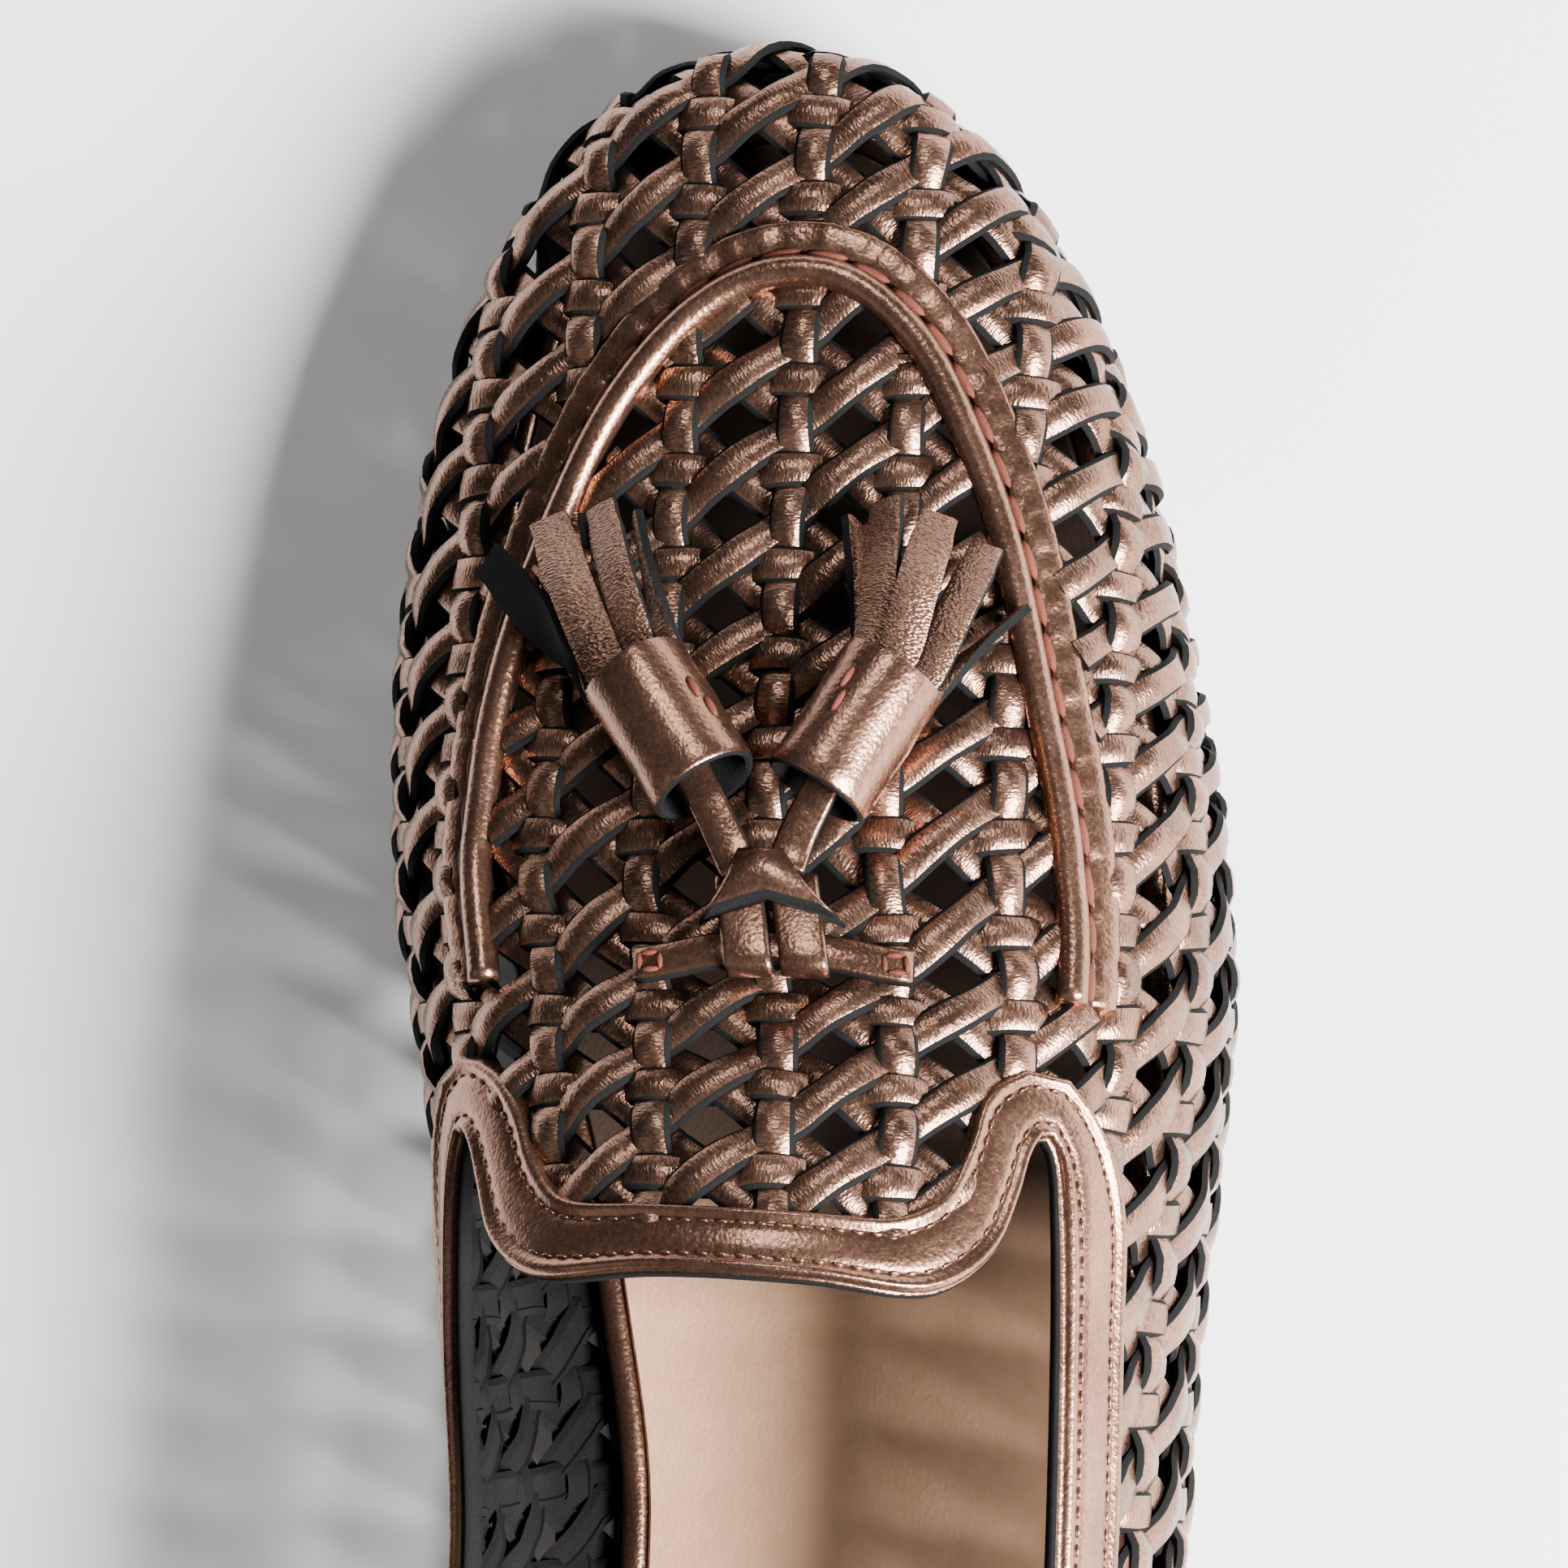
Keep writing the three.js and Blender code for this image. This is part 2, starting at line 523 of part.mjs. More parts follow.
// Woven sheet: crossings stand out, and each cell's diamond is a hole or a shallow recess
function wovenSheet() {
  const reachAcross = Math.ceil((last.ballWidth * weave.reachAcross) / weave.across);
  const firstRow = Math.floor(stripEnd / weave.along);
  const lastRow = Math.ceil((last.length * weave.reachAlong) / weave.along);
  const points = [];
  const faces = [];
  const known = new Map();
  const sides = new Map();
  const holeMargin = weave.holeAcross + weave.holeMargin;
  const cornerAt = (i, j) => new THREE.Vector2(weave.shift + i * weave.across,
    Math.max(j * weave.along, stripEnd));
  const vertex = (id, p, lift) => {
    if (!known.has(id)) {
      known.set(id, points.length);
      points.push(place(p.x, p.y, lift));
    }
    return known.get(id);
  };
  const corner = (i, j, inner) => vertex(`${i}_${j}_${inner}`, cornerAt(i, j),
    inner ? -weave.wall : weave.raise);
  const isMade = (i, j) => {
    if (j < firstRow || j >= lastRow) return false;
    const low = cornerAt(i, j);
    const high = cornerAt(i + 1, j + 1);
    const near = Math.min(Math.abs(low.x), Math.abs(high.x));
    if (low.y < openingFront && (low.x * high.x < 0 || near < openingHalf)) return false;
    const corners = [low, high, new THREE.Vector2(low.x, high.y), new THREE.Vector2(high.x, low.y)];
    return corners.some((p) => rayAt(p.x, p.y).out < girth(p.x, p.y) + 1)
      && corners.every((p) => rayAt(p.x, p.y).out < girth(p.x, p.y) + skirtBelow - 1);
  };
  const isHole = (i, j, middle) => {
    const inApron = isInside(middle, apronOutline);
    const fromEdges = Math.min(distanceTo(middle, inApron ? apronOutline : wallOutline),
      distanceTo(middle, toplineBand), girth(middle.x, middle.y) - rayAt(middle.x, middle.y).out);
    if (fromEdges < holeMargin || (!inApron && isInside(middle, wallOutline))) return false;
    return inApron || (i + 2 * j) % weave.wallHoles === 0;
  };
  const addSide = (a, b) => {
    const back = `${b}_${a}`;
    if (sides.has(back)) sides.delete(back);
    else sides.set(`${a}_${b}`, [a, b]);
  };
  for (let j = firstRow; j < lastRow; j += 1) {
    for (let i = -reachAcross; i < reachAcross; i += 1) {
      if (!isMade(i, j)) continue;
      const grid = [[i, j], [i + 1, j], [i + 1, j + 1], [i, j + 1]];
      const outer = grid.map(([a, b]) => corner(a, b, false));
      const inner = grid.map(([a, b]) => corner(a, b, true));
      const middle = cornerAt(i, j).add(cornerAt(i + 1, j + 1)).multiplyScalar(0.5);
      const shrink = Math.min(1, (cornerAt(i, j + 1).y - cornerAt(i, j).y) / weave.along);
      const rim = [[0, -weave.holeAlong * shrink], [weave.holeAcross, 0], [0, weave.holeAlong * shrink],
        [-weave.holeAcross, 0]].map(([x, y]) => new THREE.Vector2(middle.x + x, middle.y + y));
      const high = rim.map((p, k) => vertex(`${i}_${j}_rim${k}`, p, 0));
      grid.forEach((own, k) => {
        const next = (k + 1) % 4;
        faces.push([outer[k], outer[next], high[k]], [outer[next], high[next], high[k]]);
        addSide(`${own}`, `${grid[next]}`);
      });
      if (isHole(i, j, middle)) {
        const low = rim.map((p, k) => vertex(`${i}_${j}_low${k}`, p, -weave.wall));
        low.forEach((lowest, k) => {
          const next = (k + 1) % 4;
          faces.push([inner[next], inner[k], lowest], [inner[next], lowest, low[next]]);
          faces.push([high[k], high[next], low[next]], [high[k], low[next], lowest]);
        });
      } else {
        faces.push([high[0], high[1], high[2]], [high[0], high[2], high[3]]);
        faces.push([inner[2], inner[1], inner[0]], [inner[3], inner[2], inner[0]]);
      }
    }
  }
  sides.forEach(([a, b]) => {
    const [ai, aj] = a.split(',').map(Number);
    const [bi, bj] = b.split(',').map(Number);
    const [highA, highB] = [corner(ai, aj, false), corner(bi, bj, false)];
    const [lowA, lowB] = [corner(ai, aj, true), corner(bi, bj, true)];
    faces.push([highA, lowA, lowB], [highA, lowB, highB]);
  });
  return meshSolid(points, faces);
}

// Rungs of the sole's outline from heel to toe: a left and a right point at each
const heelTurns = [86, 76, 66, 55, 44, 33, 22, 11];
const soleStations = [0.127, 0.18, 0.235, 0.30, 0.36, 0.42, 0.48, 0.53, 0.58, 0.62, 0.65];
const toeTurns = [90, 80, 70, 60, 50, 41, 33, 25, 17, 10, 4];

function footprint(grow) {
  const edge = (ray) => {
    const edgeY = ray.from.y + ray.dir.y * ray.reach;
    const side = ray.side < 0 ? medialInset(edgeY) : lateralInset(edgeY);
    const inset = THREE.MathUtils.lerp((medialInset(edgeY) + lateralInset(edgeY)) / 2, side, ray.sideways);
    return ray.from.clone().addScaledVector(ray.dir, ray.reach - inset + grow);
  };
  const pair = (across, along) => [edge(rayAt(-across, along)), edge(rayAt(across, along))];
  const far = 1e-3;
  return [
    ...heelTurns.map((turn) => pair(far, heelCentre.y - (turn / 90) * heelArc)),
    ...soleStations.map((at) => [-1, 1].map((side) => {
      const y = at * last.length;
      const inset = side < 0 ? medialInset(y) : lateralInset(y);
      return new THREE.Vector2(side * (widthAt(y, side) - inset + grow), y);
    })),
    ...toeTurns.map((turn) => {
      const a = THREE.MathUtils.degToRad(turn);
      return pair(Math.sin(a), toeCentre.y + Math.cos(a) + far);
    }),
  ];
}

// A flat layer over the footprint between two heights that follow the shank
function layer(grow, lowAt, highAt, chamfer) {
  const rungs = footprint(grow);
  return loft(rungs.map(([left, right]) => {
    const inward = right.clone().sub(left).normalize().multiplyScalar(chamfer);
    const [leftIn, rightIn] = [left.clone().add(inward), right.clone().sub(inward)];
    const at = (p, z) => new THREE.Vector3(p.x, p.y, z);
    const middle = left.clone().lerp(right, 0.5);
    return [at(middle, lowAt(middle.y)), at(leftIn, lowAt(left.y)), at(left, lowAt(left.y) + chamfer),
      at(left, highAt(left.y)), at(middle, highAt(middle.y)), at(right, highAt(right.y)),
      at(right, lowAt(right.y) + chamfer), at(rightIn, lowAt(right.y))];
  }), false);
}

// A block under the heel, tapering to the floor
function heelBlock(grow, low, highAt, taper) {
  const breast = sole.heelLength;
  const rungs = footprint(grow).filter(([left]) => left.y < breast - 1);
  const wide = footprint(grow).find(([left]) => left.y >= breast - 1);
  const cut = rungs.at(-1).map((p, k) => p.clone().lerp(wide[k], (breast - p.y) / (wide[k].y - p.y)));
  return loft([...rungs, cut].map(([left, right], k) => {
    const inward = right.clone().sub(left).normalize().multiplyScalar(taper);
    const forward = new THREE.Vector2(0, k === 0 ? taper : 0);
    const at = (p, z) => new THREE.Vector3(p.x, p.y, z);
    const leftLow = left.clone().add(inward).add(forward);
    const rightLow = right.clone().sub(inward).add(forward);
    return [at(leftLow, low), at(left, highAt(left.y)), at(right, highAt(right.y)), at(rightLow, low)];
  }), false);
}

// Everything below the bottom edge, to trim the walls on
function belowUpper() {
  const rows = 24;
  const wide = last.ballWidth;
  const [back, front] = [-0.1, 1.1];
  return loft(Array.from({ length: rows + 1 }, (_, k) => {
    const y = THREE.MathUtils.lerp(back, front, k / rows) * last.length;
    const top = bottomEdge(y) + clearance;
    return [new THREE.Vector3(-wide, y, -skirtBelow), new THREE.Vector3(-wide, y, top),
      new THREE.Vector3(wide, y, top), new THREE.Vector3(wide, y, -skirtBelow)];
  }), false);
}

const cutDepth = 5;
const cutterEdge = 14;
const dressed = wovenSheet()
  .subtract(belowUpper())
  .subtract(patch(collarOutline, -cutDepth, cutDepth, cutterEdge));
const apronSolid = dressed.intersect(patch(apronOutline, -cutDepth, cutDepth, cutterEdge));
const upperSolid = dressed.subtract(patch(wallOutline, -cutDepth, cutDepth, cutterEdge));

// The binding is folded over the topline: thick, with round shoulders at its free edge
function toplineBinding() {
  const shape = [[0, -binding.low], [0, binding.high - binding.shoulder], [binding.inner, binding.high],
    [binding.outer, binding.high], [1, binding.high - binding.shoulder], [1, -binding.low]];
  const rings = toplineEdge.slice(0, -1).map((edge, k) => shape.map(([share, lift]) => {
    const p = edge.clone().lerp(toplineBand[k], share);
    return place(p.x, p.y, lift);
  }));
  return loft(rings, true);
}

function apronBead() {
  const path = new THREE.CatmullRomCurve3(seamRun.map((p) => place(p.x, p.y, seam.beadLift)));
  const round = new THREE.Shape();
  const corners = 8;
  const steps = 44;
  for (let k = 0; k < corners; k += 1) {
    const a = (k / corners) * 2 * Math.PI;
    const [x, y] = [seam.bead * Math.cos(a), seam.bead * Math.sin(a)];
    if (k === 0) round.moveTo(x, y);
    else round.lineTo(x, y);
  }
  round.closePath();
  return solidOf(new THREE.ExtrudeGeometry(round, { steps, extrudePath: path, curveSegments: 1 }));
}

function apronBand() {
  return loft(bandInner.map((p, k) => [
    place(p.x, p.y, -weave.wall),
    place(p.x, p.y, seam.bandHigh),
    place(bandOuter[k].x, bandOuter[k].y, seam.bandHigh),
    place(bandOuter[k].x, bandOuter[k].y, -weave.wall),
  ]), false);
}

// The strip over the back seam, from under the binding to the outsole
function backStripSolid() {
  const start = lateralTopline[0].bandAcross * last.ballWidth + clearance;
  const end = girth(start, sheetBack) - backStrip.high - clearance;
  const rows = 8;
  const half = backStrip.width / 2;
  return loft(Array.from({ length: rows + 1 }, (_, k) => {
    const down = THREE.MathUtils.lerp(start, end, k / rows);
    return [place(-down, sheetBack + half, backStrip.high), place(down, sheetBack, backStrip.high),
      place(down, sheetBack + half, backStrip.high), place(down, sheetBack + half, -weave.wall),
      place(down, sheetBack, -weave.wall), place(-down, sheetBack + half, -weave.wall)];
  }), false);
}

// A flat strip along a run of rows, each with its place, width and lift of the underside
function sheetStrip(rows, thickness) {
  return loft(rows.map((row) => {
    const way = new THREE.Vector2(row.wayAcross, row.wayAlong).normalize().multiplyScalar(row.width / 2);
    const [left, right] = [[row.across - way.y, row.along + way.x], [row.across + way.y, row.along - way.x]];
    return [place(...left, row.lift), place(...left, row.lift + thickness),
      place(...right, row.lift + thickness), place(...right, row.lift)];
  }), false);
}

// Heights over the weave, from the strap's underside up
const strapUnder = weave.raise + clearance;
const barUnder = strapUnder + strap.thickness + clearance;
const strapOver = barUnder + bar.thickness + clearance;

function tasselBar() {
  const count = 10;
  const from = barPlace.from * last.ballWidth;
  const to = barPlace.to * last.ballWidth;
  const droop = barUnder - strapUnder;
  return sheetStrip(Array.from({ length: count + 1 }, (_, k) => {
    const share = k / count;
    const arch = smooth(Math.min(share, 1 - share) / bar.archEnd);
    const along = barPlace.along * last.length + bar.rise * arch;
    return { across: THREE.MathUtils.lerp(from, to, share), along, wayAcross: 1, wayAlong: 0,
      width: bar.width, lift: strapUnder + droop * arch };
  }), bar.thickness);
}

// The strap is folded round the bar in two bands, and runs on as a saddle with two legs
function tasselStrap() {
  const middle = saddle.middle * last.ballWidth;
  const along = barPlace.along * last.length + bar.rise;
  const room = bar.width / 2 + clearance;
  const loop = [-1, 1].map((side) => {
    const near = middle + (side * strap.slit) / 2;
    const farSide = near + side * strap.bandWidth;
    const low = barUnder - clearance;
    const wall = (grow) => [[-room - grow, low - grow], [-room - grow, strapOver + grow],
      [room + grow, strapOver + grow], [room + grow, low - grow]];
    const block = (grow, over) => loft([near - side * over, (near + farSide) / 2, farSide + side * over]
      .map((across) => wall(grow).map(([y, lift]) => place(across, along + y, lift))), false);
    return block(strap.thickness, 0).subtract(block(0, 1));
  });
  const from = along + room;
  const waist = saddle.waist * last.length;
  const skirt = sheetStrip(Array.from({ length: 5 }, (_, k) => {
    const share = k / 4;
    return { across: middle, along: THREE.MathUtils.lerp(from, waist, share), wayAcross: 0, wayAlong: 1,
      width: THREE.MathUtils.lerp(strap.skirt, strap.waist, Math.sin((share * Math.PI) / 2)),
      lift: strapOver };
  }), strap.thickness);
  const legs = tassels.map((one) => {
    const start = new THREE.Vector2(one.leg * last.ballWidth, waist - strap.thickness);
    const end = sheetPlace(one.mouthAlong, one.mouthAcross);
    const way = end.clone().sub(start);
    end.addScaledVector(way.clone().normalize(), tassel.mouth / 2);
    return sheetStrip([0, 0.5, 1].map((share) => {
      const p = start.clone().lerp(end, share);
      return { across: p.x, along: p.y, wayAcross: way.x, wayAlong: way.y, width: strap.legWidth,
        lift: THREE.MathUtils.lerp(strapOver, tassel.radius + weave.raise, share) };
    }), strap.thickness);
  });
  return wasm.Manifold.union([...loop, skirt, ...legs]);
}

// A rolled leather cap with strips fanning out of its front
const capLift = tassel.radius + weave.raise + 3 * clearance;

function tasselSolid(one) {
  const mouth = place(one.mouthAcross * last.ballWidth, one.mouthAlong * last.length, capLift);
  const front = place(one.frontAcross * last.ballWidth, one.frontAlong * last.length, capLift);
  const way = front.clone().sub(mouth).normalize();
  const [outer, inner, long] = [tassel.radius, tassel.radius - tassel.wall, tassel.length];
  const profile = [[0, tassel.mouth], [inner, tassel.mouth], [inner, 0], [outer, 0], [outer, long],
    [inner, long], [inner, long - tassel.mouth / 2], [0, long - tassel.mouth / 2]]
    .map(([r, y]) => new THREE.Vector2(r, y));
  const sides = 18;
  const lathe = new THREE.LatheGeometry(profile, sides);
  lathe.applyQuaternion(new THREE.Quaternion().setFromUnitVectors(new THREE.Vector3(0, 1, 0), way));
  lathe.translate(mouth.x, mouth.y, mouth.z);
  const up = normalAt(one.frontAcross * last.ballWidth, one.frontAlong * last.length);
  const across = way.clone().cross(up).normalize();
  const strips = one.tips.map((tip, k) => {
    const spread = (k / (one.tips.length - 1)) * 2 - 1;
    const root = mouth.clone().addScaledVector(way, long - tassel.mouth / 2 - tassel.wall)
      .addScaledVector(across, spread * (inner - tassel.strip / 2 - clearance))
      .addScaledVector(up, tassel.thick * (k % 2 === 0 ? 1 : -1));
    const out = root.clone().addScaledVector(way, tassel.mouth);
    const end = place(tip.across * last.ballWidth, tip.along * last.length, tip.lift);
    const bend = out.clone().lerp(end, 0.5).addScaledVector(up, tassel.thick);
    return loft([root, out, bend, end].map((p, m, all) => {
      const ahead = all[Math.min(m + 1, 3)].clone().sub(all[Math.max(m - 1, 0)]).normalize();
      const wide = ahead.clone().cross(up).normalize().multiplyScalar(tassel.strip / 2);
      const thick = wide.clone().cross(ahead).normalize().multiplyScalar(tassel.thick / 2);
      return [[1, 1], [1, -1], [-1, -1], [-1, 1]].map(([a, b]) => p.clone()
        .addScaledVector(wide, a).addScaledVector(thick, b));
    }), false);
  });
  return wasm.Manifold.union([solidOf(lathe), ...strips]);
}

// Materials
function leather(color, roughness, metalness) {
  return new THREE.MeshStandardMaterial({ color, roughness, metalness });
}
const bronze = leather(0x8a6350, 0.4, 0.8);
const bronzeSmooth = leather(0x9a6f5a, 0.34, 0.85);
const nude = leather(0xd2ab8c, 0.4, 0);
const dark = leather(0x2b2624, 0.6, 0);
const stacked = leather(0x5a3a28, 0.5, 0);

const shoe = new THREE.Group();
function add(name, solid, material) {
  const mesh = new THREE.Mesh(geometryOf(solid), material);
  mesh.name = name;
  shoe.add(mesh);
}

const underOutsole = (y) => bottomEdge(y) - sole.thickness;
const onOutsole = (y) => bottomEdge(y) + clearance;
const onBoard = (y) => onOutsole(y) + footbed.board;
const insideWall = -(weave.wall + clearance);
add('outsole', layer(sole.welt, underOutsole, bottomEdge, sole.chamfer), dark);
const onHeel = (y) => underOutsole(y) - clearance;
add('heel', heelBlock(sole.welt, sole.liftHeight + clearance, onHeel, sole.taper), stacked);
add('heel_top_lift', heelBlock(sole.welt - sole.taper, 0, () => sole.liftHeight, 0), dark);
add('insole', layer(insideWall, onOutsole, onBoard, 0), bronzeSmooth);
add('sock_lining', layer(insideWall - footbed.rim, (y) => onBoard(y) + clearance,
  (y) => onBoard(y) + clearance + footbed.sock, 0), nude);
add('upper', upperSolid, bronze);
add('apron', apronSolid, bronze);
add('apron_bead', apronBead(), bronzeSmooth);
add('apron_band', apronBand(), bronzeSmooth);
add('topline_binding', toplineBinding(), bronzeSmooth);
add('back_strip', backStripSolid(), bronzeSmooth);
add('tassel_bar', tasselBar(), bronze);
add('tassel_strap', tasselStrap(), bronze);
tassels.forEach((one) => add(one.name, tasselSolid(one), bronzeSmooth));

// The origin is on the floor, under the middle of the shoe
const middle = new THREE.Box3().setFromObject(shoe).getCenter(new THREE.Vector3());
shoe.position.set(-middle.x, -middle.y, 0);

export default shoe;
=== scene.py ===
import math
import bpy
import bmesh
import numpy as np
from mathutils import Matrix, Vector


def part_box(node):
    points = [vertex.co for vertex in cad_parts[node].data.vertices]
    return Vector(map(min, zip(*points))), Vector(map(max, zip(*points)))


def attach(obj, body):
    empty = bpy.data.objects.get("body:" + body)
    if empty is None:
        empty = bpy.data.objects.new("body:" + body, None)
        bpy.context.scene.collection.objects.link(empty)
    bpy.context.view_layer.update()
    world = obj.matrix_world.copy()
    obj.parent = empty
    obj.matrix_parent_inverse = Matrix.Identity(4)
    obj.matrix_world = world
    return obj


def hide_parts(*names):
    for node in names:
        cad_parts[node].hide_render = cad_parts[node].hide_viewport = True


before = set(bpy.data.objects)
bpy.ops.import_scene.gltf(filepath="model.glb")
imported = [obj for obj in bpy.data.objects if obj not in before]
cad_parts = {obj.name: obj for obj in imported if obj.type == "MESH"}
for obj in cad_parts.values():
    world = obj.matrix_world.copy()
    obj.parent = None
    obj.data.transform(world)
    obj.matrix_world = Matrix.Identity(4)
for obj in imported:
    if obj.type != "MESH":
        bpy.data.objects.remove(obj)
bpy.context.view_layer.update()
mm = 0.001

# The last that the shoe is shaped on, in millimetres from the back of the heel
last = {"length": 245, "ballWidth": 82, "instepHeight": 66, "toeReach": 79, "heelReach": 31,
        "heelHeight": 12, "toeSpring": 7, "sole": 3.5, "heelLength": 60, "topLift": 3}
clearance = 0.3
columns = ("at", "medial", "lateral", "ridge", "height", "medialRound", "lateralRound",
           "bulge", "medialInset", "lateralInset")
sections = [
    (0.00, 0.378, 0.378, 0.000, 1.16, 2.30, 2.30, 0.260, 3.0, 3.0),
    (0.127, 0.378, 0.378, 0.000, 1.16, 2.30, 2.20, 0.260, 3.0, 3.0),
    (0.25, 0.356, 0.425, 0.020, 1.14, 2.40, 1.90, 0.260, 5.0, 5.0),
    (0.40, 0.350, 0.470, 0.040, 1.09, 2.40, 1.75, 0.260, 6.5, 6.5),
    (0.49, 0.382, 0.480, 0.040, 1.02, 2.35, 1.80, 0.250, 6.0, 6.5),
    (0.56, 0.423, 0.497, 0.030, 0.91, 2.30, 1.90, 0.235, 5.0, 6.0),
    (0.62, 0.468, 0.507, 0.005, 0.79, 2.25, 2.00, 0.220, 4.5, 5.5),
    (0.678, 0.502, 0.495, -0.030, 0.69, 2.20, 2.05, 0.205, 4.0, 5.0),
    (0.75, 0.502, 0.495, -0.035, 0.61, 2.15, 2.05, 0.190, 4.0, 4.5),
    (0.85, 0.502, 0.495, -0.035, 0.53, 2.15, 2.10, 0.170, 4.0, 4.5),
    (1.00, 0.502, 0.495, -0.035, 0.45, 2.15, 2.15, 0.140, 4.0, 4.0),
]
toeCurve = {"medialRound": 2.3, "lateralRound": 1.95, "medialFlare": 0.07, "lateralFlare": -0.13}
heelCurve = {"round": 2.25, "quarter": 1.55}
riseRows = [(0, 1, 0), (0.12, 1, 0), (0.30, 0.78, 0), (0.45, 0.42, 0), (0.56, 0.10, 0),
            (0.62, 0, 0), (0.72, 0, 0), (0.86, 0, 0.30), (1, 0, 1)]
climb = {"by": 6, "reach": 60, "throat": 0.514, "fade": 0.16}

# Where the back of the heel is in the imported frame
heelBack = Vector((sum(corner.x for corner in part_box("back_strip")) / 2,
                   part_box("heel_top_lift")[1].y - last["heelLength"] * mm, 0))


def through(at, values):
    # A curve through the rows that never overshoots them
    x = np.asarray(at, float) * last["length"]
    y = np.asarray(values, float)
    h = np.diff(x)
    step = np.diff(y) / h
    lean = np.zeros(len(y))
    lean[0], lean[-1] = step[0], step[-1]
    for k in range(1, len(y) - 1):
        if step[k - 1] * step[k] > 0:
            lean[k] = 3 * (h[k - 1] + h[k]) / ((2 * h[k] + h[k - 1]) / step[k - 1]
                                               + (h[k] + 2 * h[k - 1]) / step[k])

    def curve(v):
        v = np.clip(v, x[0], x[-1])
        k = np.clip(np.searchsorted(x, v) - 1, 0, len(x) - 2)
        t = (v - x[k]) / h[k]
        return (y[k] * (1 + 2 * t) * (1 - t) ** 2 + h[k] * lean[k] * t * (1 - t) ** 2
                + y[k + 1] * t * t * (3 - 2 * t) + h[k] * lean[k + 1] * t * t * (t - 1))
    return curve


rowsAt = [row[0] for row in sections]
scaleOf = {"medial": last["ballWidth"], "lateral": last["ballWidth"], "ridge": last["ballWidth"],
           "height": last["instepHeight"], "bulge": last["instepHeight"]}
form = {name: through(rowsAt, [row[k] * scaleOf.get(name, 1) for row in sections])
        for k, name in enumerate(columns) if k > 0}
heelRise = through([row[0] for row in riseRows], [row[1] * last["heelHeight"] for row in riseRows])
toeRise = through([row[0] for row in riseRows], [row[2] * last["toeSpring"] for row in riseRows])


def bottomEdge(y):
    return last["sole"] + heelRise(y) + toeRise(y)


def sided(side, medial, lateral):
    return np.where(side < 0, medial, lateral)


toeCentre = (float(form["ridge"](last["length"] - last["toeReach"])), last["length"] - last["toeReach"])
heelCentre = (float(form["ridge"](last["heelReach"])), last["heelReach"])
heelArc = last["heelReach"] * heelCurve["quarter"]
sheetBack = heelCentre[1] - heelArc


def smooth(x):
    x = np.clip(x, 0, 1)
    return x * x * (3 - 2 * x)


def oval(a, b, n):
    return (a ** n + b ** n) ** (-1 / n)


def raysAt(s, t):
    # Sheet places as rays out of the ridge, or out of the centre of the toe or heel curve
    side = np.where(s < 0, -1.0, 1.0)
    y = t + (climb["by"] * smooth((toeCentre[1] - t) / (toeCentre[1] - climb["throat"] * last["length"]))
             * (1 - smooth(np.abs(s) / climb["reach"]))
             * smooth((t - heelCentre[1]) / (climb["fade"] * last["length"])))
    ray = {"side": side, "fromX": form["ridge"](y), "fromY": y, "dirX": side.copy(),
           "dirY": np.zeros_like(s), "out": np.abs(s), "sideways": np.ones_like(s)}
    ray["reach"] = sided(side, form["medial"](y), form["lateral"](y)) - side * ray["fromX"]
    toe = t > toeCentre[1]
    turn = np.arctan2(s, t - toeCentre[1])
    sine, cosine = np.abs(np.sin(turn)), np.abs(np.cos(turn))
    wide = sided(side, float(form["medial"](toeCentre[1])), float(form["lateral"](toeCentre[1])))
    wide = wide - side * toeCentre[0]
    roundness = sided(side, toeCurve["medialRound"], toeCurve["lateralRound"])
    flare = sided(side, toeCurve["medialFlare"], toeCurve["lateralFlare"])
    toeOut = oval(sine / wide, cosine / last["toeReach"], roundness) * (1 + flare * cosine * sine * sine)
    heel = t < heelCentre[1]
    back = (heelCentre[1] - t) / heelArc * (math.pi / 2)
    wideBack = sided(side, float(form["medial"](heelCentre[1])), float(form["lateral"](heelCentre[1])))
    wideBack = wideBack - side * heelCentre[0]
    heelOut = oval(np.abs(np.cos(back)) / wideBack, np.abs(np.sin(back)) / last["heelReach"],
                   heelCurve["round"])
    for key, atToe, atHeel in (
            ("fromX", toeCentre[0], heelCentre[0]), ("fromY", toeCentre[1], heelCentre[1]),
            ("dirX", np.sin(turn), side * np.cos(back)), ("dirY", np.cos(turn), -np.sin(back)),
            ("reach", toeOut, heelOut), ("out", np.hypot(s, t - toeCentre[1]), np.abs(s)),
            ("sideways", sine, np.abs(np.cos(back)))):
        ray[key] = np.where(toe, atToe, np.where(heel, atHeel, ray[key]))
    return ray


def insetOf(ray, edgeY):
    middle = (form["medialInset"](edgeY) + form["lateralInset"](edgeY)) / 2
    own = sided(ray["side"], form["medialInset"](edgeY), form["lateralInset"](edgeY))
    return middle + (own - middle) * ray["sideways"]


